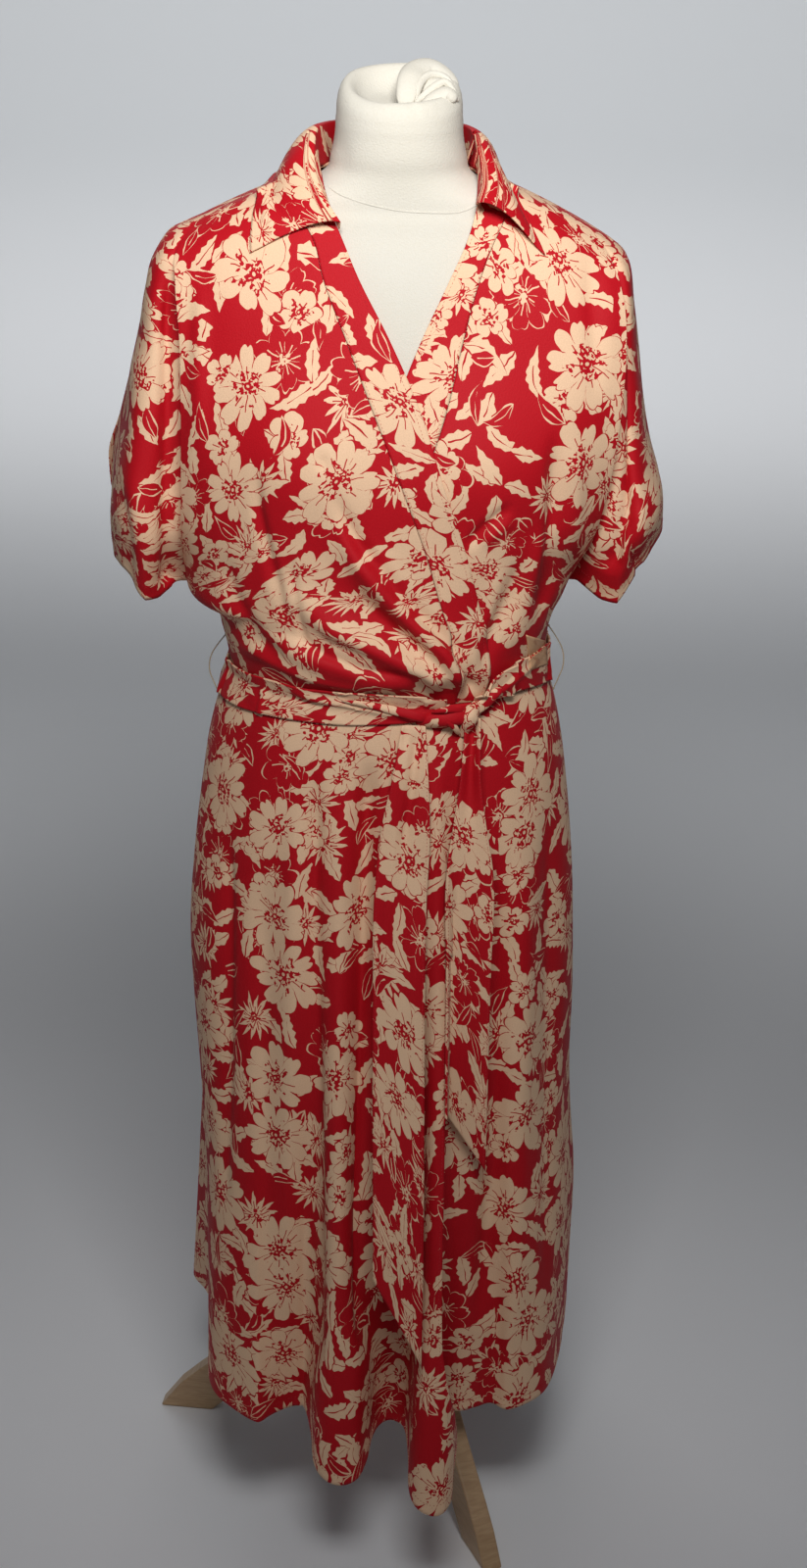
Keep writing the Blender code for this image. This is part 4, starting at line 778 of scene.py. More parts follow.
def sideName(sign):
    return "left" if sign > 0 else "right"


def bySide(sign, table, ending, row):       # each side's column where the sign says so
    return np.where(sign > 0, table.at("left" + ending, row), table.at("right" + ending, row))


def bodySpan(row, sign, layer):     # half width of the whole curve, and the turn at which its fold is
    depth = np.maximum(bodice.at(layer, row), 1e-6)
    foldX = bySide(sign, bodice, "X", row)
    squareness = bodicePlan["squareness"]
    leftOver = 1 - np.clip(bodice.at(layer + "Fold", row) / depth, 0, 1) ** squareness
    span = foldX / leftOver ** (1 / squareness)
    return span, np.degrees(np.arcsin(np.minimum((foldX / span) ** (squareness / 2), 1.0)))


def reachOf(x, row, layer="front"):     # 0 at the centre line and 1 or -1 at the fold
    sign = np.where(x >= 0, 1.0, -1.0)
    span, foldTurn = bodySpan(row, sign, layer)
    turn = np.degrees(np.arcsin(np.minimum((np.abs(x) / span) ** (bodicePlan["squareness"] / 2), 1.0)))
    return sign * turn / foldTurn


def bust(x, z):
    rise = 0.0
    for centre in (-bodicePlan["bustWide"], bodicePlan["bustWide"]):
        distance = ((x - centre) ** 2 + (z - bodicePlan["bustHeight"]) ** 2) / bodicePlan["bustSpread"] ** 2
        rise = rise + bodicePlan["bustLift"] * np.exp(-distance)
    return rise


def ridgeRise(x, z, ridges):
    rise = 0.0
    for startX, startZ, endX, endZ, width, height in ridges:
        runX, runZ = endX - startX, endZ - startZ
        length = math.hypot(runX, runZ)
        along = ((x - startX) * runX + (z - startZ) * runZ) / length**2
        across = (runX * (z - startZ) - runZ * (x - startX)) / length
        fade = ease(along, -0.15, 0.35) * ease(along, 1.2, 0.95)
        rise = rise + height * fade * np.exp(-((across / width) ** 2))
    return rise


def bodyPoints(reach, row, layer, panel=0):
    sign = np.where(reach >= 0, 1.0, -1.0)
    span, foldTurn = bodySpan(row, sign, layer)
    x, depth = superellipse(np.abs(reach) * foldTurn, span, bodice.at(layer, row), bodicePlan["squareness"])
    middle = bodice.at(layer + "Middle", row)
    foldX, foldZ = (bySide(sign, bodice, axis, row) for axis in "XZ")
    z = middle + (foldZ - middle) * (x / foldX) ** bodicePlan["droop"]
    x = sign * x
    if layer == "back":
        return np.stack([x, depth, z], axis=-1)
    relief = bust(x, z) + (ridgeRise(x, z, drapeRidges[panel]) if panel else 0.0)
    return np.stack([x, -depth - relief * ease(row, 0.0, 0.3) * ease(row, 1.5, 1.36), z], axis=-1)


def sleevePoints(turn, row, fold, layer):       # from the body's fold, 0 degrees, to the outer line, 90
    sign = 1 if fold[0, 0, 0] > 0 else -1
    side = sideName(sign)
    outerX, outerY, outerZ = (sleeves.at(side + axis, row) for axis in "XYZ")
    foldX, foldY, foldZ = fold[..., 0], fold[..., 1], fold[..., 2]
    sine, cosine = np.sin(np.radians(turn)), np.cos(np.radians(turn))
    forward, belly, dipColumn, sagShare = {
        "front": (-1, "belly", "dip", 1.0), "back": (1, "backBelly", "backDip", sleevePlan["backSag"])}[layer]
    deep, deeper, dipRow, dipRows = sleevePlan["dip"]
    deep = deep + deeper * np.exp(-(((row - dipRow) / dipRows) ** 2))
    crease = turn / sleevePlan["crease"] * np.exp(1 - turn / sleevePlan["crease"])
    dip = deep * crease * sleeves.at(dipColumn, row) * ease(turn, 90, 80)
    drop = np.interp(turn, sleevePlan["hemTurns"], sleevePlan["hemDrops"][sign])
    sag = sleeves.at(side + "Sag", row) * drop
    x = foldX + (sign * outerX - foldX) * sine - sign * dip * sleevePlan["undercut"][layer]
    if sign < 0 and layer == "back":        # the back layer shows behind the front one at the outer edge
        x = x - sleevePlan["flare"] * ease(row, 0.66, 0.92) * ease(turn, 50, 88)
    y = outerY + (foldY - outerY) * cosine - forward * dip + forward * place["seam"] * ease(turn, 60, 90)
    y = y + forward * np.sin(np.radians(2 * turn)) * sleeves.at(belly, row)
    z = foldZ + (outerZ - foldZ) * sine - sag * sagShare
    return np.stack(np.broadcast_arrays(x, y, z), axis=-1)


def lapLift(x, row):
    return place["lap"] * ease(x, *place["lapFrom"]) * ease(row, *place["lapRows"])


def keptApart(points, forward):     # front and back stay on their own sides of the seam
    near = (points[..., 1] * forward < place["seam"]) & (np.abs(points[..., 0]) < sleevePlan["farthest"])
    points[..., 1] = np.where(near, forward * place["seam"], points[..., 1])
    return points


def between(knots, count):      # steps spread between the knots, each stretch cut into count steps
    steps = [np.linspace(low, high, count, endpoint=False) for low, high in zip(knots, knots[1:])]
    return np.concatenate(steps + [[knots[-1]]])


upperRows = between(bodicePlan["upperKnots"], bodicePlan["rowSteps"])       # beside the sleeve
lowerRows = between(bodicePlan["lowerKnots"], bodicePlan["rowSteps"])[1:]
bodiceRows = np.concatenate([upperRows, lowerRows])[:, None]
sleeveTurns = between(sleevePlan["knots"], sleevePlan["steps"])


def sleeveGrid(folds, layer):
    count = len(upperRows)
    points = sleevePoints(sleeveTurns[None, :], upperRows[:, None], folds[:count, None, :], layer)
    points[:, 0] = folds[:count]
    turns = sleeveTurns
    if (folds[0, 0] > 0) != (layer == "front"):
        points, turns = points[:, ::-1], turns[::-1]
    relief = ripple(points, "sleeve")
    if layer == "front":
        relief = relief + creaseRelief(points, creases["sleeves"])
    fade = ease(turns, 0, 12) * ease(turns, 90, 72)
    points = movedOut(points, relief * fade[None, :] * ease(upperRows[:, None], 0.0, 0.2))
    return keptApart(points, -1 if layer == "front" else 1)


def frontGrids(sign):       # panel, band and sleeve of one front
    side = sideName(sign)
    row = bodiceRows
    stitch, edge = edges.at(side + "Stitch", row), edges.at(side + "Edge", row)
    away = sign * place["seam"] / 2
    panelColumns, bandColumns = bodicePlan["panelColumns"][sign], bodicePlan["bandColumns"]
    inner = reachOf(stitch + away, row)
    panelReach = sign + (inner - sign) * np.linspace(0, 1, panelColumns)[None, :]
    bandReach = reachOf(stitch - away + (edge - stitch + away) * np.linspace(0, 1, bandColumns)[None, :], row)
    reach = np.concatenate([panelReach, bandReach], axis=1)
    full = bodyPoints(reach, row, "front", sign)
    relief = creaseRelief(full, creases["bodice"]) + ripple(full, "front")
    relief = relief * ease(1 - np.abs(reach), 0.0, 0.10)
    relief = relief * ease(row, 0.0, 0.12) * ease(row, bodicePlan["waistRow"], 1.44)
    if sign > 0:
        full, relief = full[:, ::-1], relief[:, ::-1]
    full = keptApart(movedOut(full, relief + (lapLift(full[..., 0], row) if sign < 0 else 0.0)), -1)
    full[-1, :, 2] = place["waist"] + place["seam"]
    if sign < 0:
        return full[:, :panelColumns].copy(), full[:, panelColumns:].copy(), sleeveGrid(full[:, 0], "front")
    return full[:, bandColumns:].copy(), full[:, :bandColumns].copy(), sleeveGrid(full[:, -1], "front")


def backGrids():        # back and its two sleeves
    row, waistRow = bodiceRows, bodicePlan["waistRow"]
    neckX = edges.at("leftEdge", 0.0)
    neck = float(reachOf(np.array(neckX), np.array(0.0), "back"))
    half = between(sorted((*bodicePlan["backKnots"], neck * 0.94, neck)), bodicePlan["backSteps"])
    reach = np.concatenate([half[::-1], -half[1:]])[None, :]
    across = np.minimum(np.abs(bodyPoints(reach, np.zeros((1, 1)), "back")[..., 0] / neckX), 1.0)
    squareness = bodicePlan["neckSquareness"]
    dip = bodicePlan["neckRow"] * (1 - across ** squareness) ** (1 / squareness)
    body = bodyPoints(reach + 0 * row, dip + row * (waistRow - dip) / waistRow, "back")
    relief = ripple(body, "back") * ease(1 - np.abs(reach), 0.0, 0.10)
    body = keptApart(movedOut(body, relief * ease(row, 0.05, 0.25) * ease(row, waistRow, 1.40)), 1)
    return body, sleeveGrid(body[:, 0], "back"), sleeveGrid(body[:, -1], "back")


# Skirt

skirt = Table(
    "height right left front back",
    (0.8676, 0.148, 0.147, 0.120, 0.086), (0.8450, 0.157, 0.154, 0.124, 0.092),
    (0.8000, 0.169, 0.164, 0.129, 0.104), (0.7600, 0.175, 0.170, 0.133, 0.114),
    (0.7200, 0.180, 0.175, 0.137, 0.123), (0.6800, 0.184, 0.179, 0.141, 0.131),
    (0.6000, 0.189, 0.184, 0.148, 0.142), (0.5300, 0.187, 0.187, 0.152, 0.147),
    (0.4600, 0.184, 0.188, 0.155, 0.152), (0.4000, 0.182, 0.192, 0.157, 0.155),
    (0.3300, 0.183, 0.199, 0.160, 0.159), (0.2500, 0.184, 0.200, 0.162, 0.163),
    (0.1000, 0.185, 0.199, 0.166, 0.170),
)
foldGrowth = Table(
    "height share",
    (0.8676, 0.00), (0.72, 0.015), (0.62, 0.06), (0.52, 0.17),
    (0.42, 0.34), (0.32, 0.56), (0.22, 0.80), (0.1, 1.04),
)
frontEdge = Table(
    "height x",
    (0.8676, 0.084), (0.80, 0.071), (0.72, 0.062), (0.62, 0.060),
    (0.50, 0.062), (0.35, 0.066), (0.22, 0.071), (0.10, 0.077),
)
hems = {        # the hem's line place by place; turn is the angle from the centre on the plain skirt
    "right": Table(
        "turn x y z",
        (-90, -0.1690, -0.004, 0.146), (-80, -0.1710, -0.042, 0.145), (-71, -0.1700, -0.090, 0.144),
        (-63, -0.1680, -0.119, 0.143), (-56, -0.1600, -0.144, 0.143), (-49, -0.1430, -0.167, 0.142),
        (-43, -0.1245, -0.1855, 0.141), (-38.5, -0.1120, -0.190, 0.141), (-34, -0.1005, -0.178, 0.143),
        (-29, -0.0880, -0.167, 0.1445), (-24, -0.0750, -0.161, 0.1455), (-19.5, -0.0655, -0.165, 0.142),
        (-16.5, -0.0600, -0.192, 0.133), (-13.5, -0.0570, -0.226, 0.124), (-10.5, -0.0480, -0.243, 0.117),
        (-7, -0.0300, -0.249, 0.114), (-4, -0.0140, -0.239, 0.117), (-1.5, -0.0065, -0.217, 0.124),
        (1, -0.0035, -0.196, 0.132), (4, 0.0040, -0.181, 0.139), (7.5, 0.0190, -0.1770, 0.141),
        (10, 0.0305, -0.188, 0.136), (11.8, 0.0335, -0.222, 0.127), (13.5, 0.0340, -0.255, 0.118),
        (15.3, 0.0400, -0.275, 0.112), (17.5, 0.0560, -0.285, 0.108), (19.7, 0.0700, -0.279, 0.110),
        (21.2, 0.0760, -0.262, 0.113), (22.6, 0.0772, -0.235, 0.119), (24, 0.0800, -0.203, 0.125),
    ),
    "left": Table(
        "turn x y z",
        (-34, -0.0950, -0.130, 0.150), (-10, -0.0300, -0.143, 0.148), (5, 0.0220, -0.150, 0.146),
        (15, 0.0580, -0.160, 0.146), (22, 0.0800, -0.1665, 0.143), (29, 0.0990, -0.1605, 0.145),
        (35, 0.1145, -0.156, 0.146), (41, 0.1285, -0.163, 0.143), (49, 0.1510, -0.150, 0.143),
        (58, 0.1705, -0.130, 0.143), (67, 0.1820, -0.100, 0.1435), (78, 0.1920, -0.050, 0.1445),
        (90, 0.1965, -0.001, 0.145),
    ),
    "back": Table(
        "turn x y z",
        (-90, -0.1690, -0.004, 0.146), (-83, -0.1830, 0.028, 0.146), (-76, -0.1990, 0.052, 0.147),
        (-69, -0.2010, 0.075, 0.146), (-61, -0.1900, 0.100, 0.146), (-52, -0.1640, 0.130, 0.147),
        (-42, -0.1520, 0.172, 0.143), (-32, -0.1200, 0.203, 0.142), (-22, -0.0800, 0.190, 0.146),
        (-13, -0.0460, 0.190, 0.146), (-5, -0.0200, 0.229, 0.142), (5, 0.0260, 0.236, 0.142),
        (14, 0.0550, 0.206, 0.146), (22, 0.0820, 0.190, 0.146), (32, 0.1190, 0.205, 0.142),
        (43, 0.1540, 0.183, 0.143), (53, 0.1680, 0.138, 0.147), (64, 0.1880, 0.106, 0.145),
        (76, 0.2010, 0.054, 0.145), (90, 0.1965, -0.001, 0.145),
    ),
}
skirtPlan = {
    "squareness": 2.2, "underlapTurn": -34.0, "leftColumns": 111, "backColumns": 151,
    "heights": (0.868, 0.83, 0.77, 0.69, 0.60, 0.51, 0.42, 0.335, 0.255, 0.195, 0.145), "heightSteps": 15,
    "rightTurns": (-90, -81, -72, -64, -56.5, -49.5, -43.5, -38.5, -33.5, -28.5, -24, -20, -17, -13.8, -10.5,
                   -7, -4, -1.5, 1, 4, 7.3, 9.8, 11.8, 13.5, 15.2, 17.5, 19.7, 21.2, 22.6, 24),
    "turnSteps": 5,
}
skirtHeights = between(skirtPlan["heights"], skirtPlan["heightSteps"])[:, None]


def skirtRing(turn, height, layer, lift=0.0):
    half = np.where(turn >= 0, skirt.at("left", height), skirt.at("right", height))
    return superellipse(turn, half + lift, skirt.at(layer, height) + lift, skirtPlan["squareness"])


def skirtPoints(turn, height, hem, layer, lift=0.0):        # its folds grow down to the hem's line
    facing = -1 if layer == "front" else 1
    x, y = skirtRing(turn, height, layer, lift)
    plainX, plainY = skirtRing(turn, place["hem"], layer)
    share = foldGrowth.at("share", height)
    x = x + share * (hem.at("x", turn) - plainX)
    y = facing * y + share * (hem.at("y", turn) - facing * plainY)
    z = height + ease(height, 0.50, place["hem"]) * (hem.at("z", turn) - place["hem"])
    return np.stack([x, y, z], axis=-1)


def rippledSkirt(points, name):
    relief = ripple(points, name)
    if name == "skirtFront":
        relief = relief + creaseRelief(points, creases["skirt"])
    turn = np.degrees(np.arctan2(points[..., 0], np.abs(points[..., 1])))
    return movedOut(points, relief * ease(90 - np.abs(turn), 0.5, 10) * ease(skirtHeights, 0.862, 0.80))


def skirtGrids():
    turns = between(skirtPlan["rightTurns"], skirtPlan["turnSteps"])
    steps = ((turns - turns[0]) / (turns[-1] - turns[0]))[None, :]
    half = skirt.at("left", skirtHeights)
    edgeShare = frontEdge.at("x", skirtHeights) / half
    edgeTurn = np.degrees(np.arcsin(edgeShare ** (skirtPlan["squareness"] / 2)))
    share = ease(skirtHeights, 0.30, place["hem"])
    end = edgeTurn * (1 - share) + turns[-1] * share
    turn = turns[0] + (end - turns[0]) * steps
    lift = lapLift(skirtRing(turn, skirtHeights, "front")[0], bodicePlan["waistRow"])
    right = skirtPoints(turn, skirtHeights, hems["right"], "front", lift)
    turn = np.linspace(skirtPlan["underlapTurn"], 90, skirtPlan["leftColumns"])[None, :] + 0 * skirtHeights
    left = skirtPoints(turn, skirtHeights, hems["left"], "front")
    turn = np.linspace(90, -90, skirtPlan["backColumns"])[None, :] + 0 * skirtHeights
    back = skirtPoints(turn, skirtHeights, hems["back"], "back")
    right, left = rippledSkirt(right, "skirtFront"), rippledSkirt(left, "skirtFront")
    back = rippledSkirt(back, "skirtBack")
    for line, facing in ((right[:, 0], -1), (left[:, -1], -1), (back[:, 0], 1), (back[:, -1], 1)):
        line[:, 1] += facing * place["seam"]
    return right, left, back


# Collar

collarRoll = Table(
    "place rightX rightY rightZ leftX leftY leftZ",
    (0.00, 0.0000, 0.0660, 1.3520, 0.0000, 0.0660, 1.3520),
    (0.20, 0.0400, 0.0590, 1.3520, 0.0380, 0.0580, 1.3520),
    (0.38, 0.0640, 0.0390, 1.3515, 0.0590, 0.0380, 1.3510),
    (0.50, 0.0715, 0.0110, 1.3500, 0.0650, 0.0100, 1.3490),
    (0.62, 0.0735, -0.0140, 1.3400, 0.0680, -0.0140, 1.3420),
    (0.75, 0.0715, -0.0400, 1.3210, 0.0720, -0.0370, 1.3280),
    (0.88, 0.0615, -0.0620, 1.3010, 0.0725, -0.0580, 1.3140),
    (1.00, 0.0485, -0.0745, 1.2835, 0.0685, -0.0735, 1.3020),
)
collarEdge = Table(
    "place rightX rightY rightZ leftX leftY leftZ",
    (0.00, 0.0000, 0.1040, 1.2880, 0.0000, 0.1040, 1.2880),
    (0.20, 0.0500, 0.1000, 1.2880, 0.0460, 0.1000, 1.2880),
    (0.38, 0.0905, 0.0740, 1.2920, 0.0790, 0.0725, 1.2915),
    (0.50, 0.1080, 0.0200, 1.3000, 0.0880, 0.0200, 1.3060),
    (0.62, 0.1150, -0.0200, 1.2900, 0.0960, -0.0200, 1.2970),
    (0.75, 0.1200, -0.0400, 1.2760, 0.1080, -0.0400, 1.2830),
    (0.88, 0.1225, -0.0530, 1.2630, 0.1190, -0.0530, 1.2690),
    (1.00, 0.1226, -0.0600, 1.2520, 0.1260, -0.0600, 1.2560),
)
collarPlan = {
    "endRow": {-1: 0.150, 1: 0.088},        # where it ends on each front's edge
    "rows": (0.0, 0.35, 0.7, 0.93, 1.0, 1.06, 1.16, 1.36, 1.6, 1.82, 2.0),      # 1 is the roll, 2 the edge
    "rowSteps": 4, "columns": 97, "freeRows": 17,       # the free rows stand up and don't lie on the bodice
    "setback": 0.0010, "bulge": 0.0065, "rest": 0.0018, "wall": 0.0013,
}


def shareAlong(points, share):
    lengths = runLengths(points)
    return np.stack([np.interp(share * lengths[-1], lengths, points[:, axis]) for axis in range(3)], axis=-1)


def necklines():        # on each side: the back's neck edge, and the front's edge down to the collar's end
    neckX = float(edges.at("leftEdge", 0.0))
    neck = backBody[0][np.abs(backBody[0][:, 0]) <= neckX + 1e-4]
    middle = len(neck) // 2
    lines = {}
    for sign, edge, behind in ((-1, rightBand[:, -1], neck[middle:]), (1, leftBand[:, 0], neck[middle::-1])):
        endRow = collarPlan["endRow"][sign]
        last = np.array([np.interp(endRow, bodiceRows[:, 0], edge[:, axis]) for axis in range(3)])
        rows = int((bodiceRows[:, 0] < endRow).sum())
        lines[sign] = behind, np.concatenate([edge[:rows], [last]])
    return lines


def collarGrid():
    lines, halves = necklines(), []
    rows = between(collarPlan["rows"], collarPlan["rowSteps"])[:, None, None]
    along = np.linspace(0, 1, collarPlan["columns"])
    for sign in (-1, 1):
        roll, edge = (np.stack([table.at(sideName(sign) + axis, along) for axis in "XYZ"], axis=-1)
                      * (sign, 1, 1) for table in (collarRoll, collarEdge))
        behind, front = lines[sign]
        behind, front = shareAlong(behind, along / 0.5), shareAlong(front, along / 0.5 - 1)
        seam = np.where(along[:, None] <= 0.5, behind, front)
        rise = roll - seam
        rise = rise / np.linalg.norm(rise, axis=1, keepdims=True) * collarPlan["setback"]
        stand = (seam + rise)[None] + (roll - seam - rise)[None] * rows
        fall = np.maximum(rows - 1, 0)
        out = (edge - roll) * (1, 1, 0)
        out = out / np.linalg.norm(out, axis=1, keepdims=True)
        bulge = collarPlan["bulge"] * np.sin(np.pi * fall**0.6)
        leaf = roll[None] + (edge - roll)[None] * fall + out[None] * bulge
        leaf = leaf + bulge * 0.75 * np.array((0, 0, 1))
        half = np.where(rows <= 1, stand, leaf)
        halves.append(half[:, ::-1] if sign < 0 else half[:, 1:])
    return np.concatenate(halves, axis=1)


# Sash

sash = Table(
    "turn middle half lift",
    (-332, 0.8725, 0.0060, 0.0030), (-325, 0.8810, 0.0115, 0.0038), (-312, 0.8860, 0.0155, 0.0030),
    (-295, 0.884, 0.0175, 0.0015), (-270, 0.8765, 0.0185, 0.0012), (-180, 0.868, 0.018, 0.0012),
    (-90, 0.858, 0.0165, 0.0012), (-60, 0.862, 0.017, 0.0012), (-35, 0.866, 0.018, 0.0012),
    (-8, 0.868, 0.018, 0.0012), (8, 0.868, 0.014, 0.0015), (18, 0.8675, 0.0085, 0.0020),
)
longEnd = Table(
    "height x half y",
    (0.8519, 0.0235, 0.0105, -0.1262), (0.80, 0.021, 0.0170, -0.134), (0.75, 0.0175, 0.0225, -0.139),
    (0.70, 0.0150, 0.0238, -0.147), (0.60, 0.0155, 0.0240, -0.163), (0.50, 0.0170, 0.0240, -0.182),
    (0.40, 0.0190, 0.0238, -0.206), (0.33, 0.0200, 0.0236, -0.224), (0.24, 0.0205, 0.0232, -0.246),
)
shortEnd = Table(
    "height x half y",
    (0.8570, 0.0765, 0.0065, -0.118), (0.80, 0.0755, 0.0095, -0.126), (0.76, 0.0760, 0.0150, -0.133),
    (0.72, 0.0775, 0.0205, -0.137), (0.62, 0.0790, 0.0205, -0.147), (0.52, 0.0800, 0.0200, -0.155),
    (0.40, 0.0810, 0.0195, -0.163),
)
sashPlan = {
    "wall": 0.0014, "clear": 0.0016,        # the cloth, and the room that is left for it
    "rest": 0.0010, "creasedRest": 0.0006, "endRest": 0.0007,       # and the gaps that stay open under it
    "creasedTurn": 75,      # the belt has creases in front of this turn
    "beltRows": 25, "beltColumns": 341, "endRows": 131, "endColumns": 21,
    "bow": 0.0035, "hang": (0.0036, 0.0036),        # how far an end bows at its top, and stands off
}
sashEnds = {        # slant: the height of the lower edge at both sides; shift: its place on the flat cloth
    "long": {"table": longEnd, "slant": (0.335, 0.253), "shift": (2.7, 2.8), "length": 0.60},
    "short": {"table": shortEnd, "slant": (0.478, 0.417), "shift": (3.3, 2.9), "length": 0.42},
}


def sashGrid(surfaces):
    turn = np.linspace(sash.keys[0], sash.keys[-1], sashPlan["beltColumns"])[None, :]
    across = np.linspace(1, -1, sashPlan["beltRows"])[:, None]
    height = sash.at("middle", turn) + across * sash.at("half", turn)
    seen = ((turn + 180) % 360) - 180
    capped = np.minimum(height, place["waist"])
    depth = np.where(np.abs(seen) <= 90, skirt.at("front", capped), skirt.at("back", capped))
    half = np.where(seen > 0, skirt.at("left", capped), skirt.at("right", capped))
    lift = sash.at("lift", turn) + sashPlan["clear"]
    x, y = superellipse(seen, half + lift, depth + lift, skirtPlan["squareness"])
    points = laidOn(np.stack([x, -y, height], axis=-1), surfaces, sashPlan["clear"] + sashPlan["rest"])
    relief = creaseRelief(points, creases["belt"]) * (np.abs(seen) < sashPlan["creasedTurn"])
    relief = relief + ripple(points, "belt")
    points = movedOut(points, relief * ease(1 - np.abs(across), -0.2, 0.3))
    return laidOn(points, surfaces, sashPlan["clear"] + sashPlan["creasedRest"])


def endGrid(table, slant, surfaces):
    across = np.linspace(-1, 1, sashPlan["endColumns"])[None, :]
    step = np.linspace(0, 1, sashPlan["endRows"])[:, None]
    top = max(table.keys)
    low = slant[0] + (slant[1] - slant[0]) * (across + 1) / 2
    height = top + (low - top) * step
    half = table.at("half", height)
    x = table.at("x", height) + across * half
    bow = sashPlan["bow"] * (1 - ease(height, top - 0.03, top - 0.16))
    y = table.at("y", height) + bow * np.cos(across * np.pi)
    before = -0.5       # in front of the dress, where the rays to it start
    for row, column in np.ndindex(x.shape):
        reach = half[row, column] / 12
        starts = [(x[row, column] + shift * reach, before, height[row, column]) for shift in (-1, 0, 1)]
        ahead = min(nearestHit(surfaces, start, (0, 1, 0)).y for start in starts)
        y[row, column] = min(y[row, column], ahead - sashPlan["clear"] - sashPlan["endRest"])
    points = np.stack([x, y, height], axis=-1)
    relief = creaseRelief(points, creases["longEnd"]) + ripple(points, "sashEnd")
    start = ease(height, top, top - 0.05)
    everywhere, below = sashPlan["hang"]
    hang = everywhere * start + below * ease(height, top - 0.30, top - 0.06) * start
    points[..., 1] -= np.maximum(relief + hang, 0)
    return points


# The dress

rightPanel, rightBand, rightSleeve = frontGrids(-1)
leftPanel, leftBand, leftSleeve = frontGrids(1)
backBody, backLeftSleeve, backRightSleeve = backGrids()
rightSkirt, leftSkirt, backSkirt = skirtGrids()
bodiceSurfaces = [surfaceOf(points) for points in (rightPanel, leftPanel, rightBand, leftBand, backBody)]
skirtSurfaces = [surfaceOf(points) for points in (rightSkirt, leftSkirt, backSkirt)]
collar = laidOn(collarGrid(), bodiceSurfaces, collarPlan["rest"], collarPlan["freeRows"])
sashBelt = sashGrid(bodiceSurfaces + skirtSurfaces)
beltSurface = surfaceOf(sashBelt)
for end in sashEnds.values():
    end["points"] = endGrid(end["table"], end["slant"], skirtSurfaces + [beltSurface])
print("dress shapes worked out")


def sleeveFlat(sleeve, bodyFlat, column):       # carried on from the body's flat places at its fold
    places = flatPlaces(sleeve, anchor=-1 - column)
    fold = bodyFlat[:len(upperRows), column]
    places[..., 1] = fold[:, None, 1]
    places[..., 0] += fold[:, None, 0]
    return sleeve, places


def bodicePieces():
    flat = flatPlaces(rightPanel, shift=(0.31, 0.12))
    clothPiece("bodice_front_right", [(rightPanel, flat), sleeveFlat(rightSleeve, flat, 0)])
    flat = flatPlaces(leftPanel, anchor=-1, shift=(1.43, 0.27))
    clothPiece("bodice_front_left", [(leftPanel, flat), sleeveFlat(leftSleeve, flat, -1)])
    for name, band, shift, turn in (("front_band_right", rightBand, (0.90, 0.45), 35),
                                    ("front_band_left", leftBand, (0.22, 1.12), -35)):
        clothPiece(name, [(band, flatPlaces(band, shift=shift, turn=turn))])
    flat = flatPlaces(backBody, anchor=backBody.shape[1] // 2, shift=(2.2, 0.6))
    clothPiece("bodice_back", [(backBody, flat), sleeveFlat(backLeftSleeve, flat, 0),
                               sleeveFlat(backRightSleeve, flat, -1)])


def skirtPieces():      # anchor: a column near the middle; shift: the piece's place on the flat cloth
    for name, points, anchor, shift, flat, area in (
            ("skirt_front_right", rightSkirt, 60, (3.15, 1.4), (0.62, 0.76), 0.34),
            ("skirt_front_left", leftSkirt, 40, (4.35, 2.1), (0.45, 0.75), 0.27),
            ("skirt_back", backSkirt, 70, (5.2, 0.3), (0.72, 0.76), 0.41)):
        clothPiece(name, [(points, flatPlaces(points, anchor, shift))])


def collarPiece():
    flat = flatPlaces(collar, anchor=collarPlan["columns"] - 1, shift=(1.9, 1.9))
    clothPiece("collar", [(collar, flat)], wall=collarPlan["wall"])


def sashPieces():
    clothPiece("sash_belt", [(sashBelt, flatPlaces(sashBelt, anchor=120, shift=(0.4, 2.6)))],
               wall=sashPlan["wall"])
    for name, end in sashEnds.items():
        clothPiece("sash_end_" + name, [(end["points"], flatPlaces(end["points"], 8, end["shift"]))],
                   wall=sashPlan["wall"])


bodicePieces()
skirtPieces()
collarPiece()
sashPieces()
print("dress panels made")


# The knot: a strand that comes in from the left, a wrap over it and small folds. Each point of a strand
# is a pixel of the photo, then in millimetres its distance in front of what is behind, its half width
# and its half thickness.

knotStrands = {
    "roll": ((348, 715, 2.0, 1.2, 1.0), (372, 719, 3.0, 2.8, 2.0), (400, 725, 3.6, 4.0, 2.8),
             (425, 731, 4.0, 4.4, 3.2), (440, 735, 3.0, 2.6, 2.2)),
    "strand": ((424, 738, 1.0, 3.5, 2.5), (437, 735, 5.0, 7.0, 4.5), (452, 733, 8.0, 9.0, 6.0),
               (466, 731, 9.0, 8.4, 6.2), (480, 731, 6.0, 7.0, 5.0), (488, 731, 2.0, 4.0, 3.0)),
    "wrap": ((482, 717, 1.0, 4.0, 2.5), (483, 722, 8.5, 6.2, 3.4), (480, 730, 14.0, 6.8, 3.8),
             (477, 738, 11.5, 6.0, 3.6), (473, 746, 4.0, 4.4, 2.8), (470, 752, 0.5, 3.0, 2.0)),
    "fold": ((440, 727, 8.0, 1.6, 1.4), (452, 725, 12.5, 2.8, 1.8), (464, 724, 14.0, 3.0, 2.0),
             (474, 724, 13.0, 2.4, 1.6)),
    "tongue": ((450, 733, 10.0, 1.4, 1.2), (457, 737, 13.0, 2.8, 1.8), (464, 743, 10.0, 2.8, 2.0),
               (468, 749, 4.0, 2.0, 1.6)),
    "right": ((512, 703, 1.0, 3.5, 2.0), (501, 711, 4.0, 5.5, 3.0), (491, 719, 6.5, 5.6, 3.6),
              (482, 726, 8.0, 4.6, 3.4)),
}


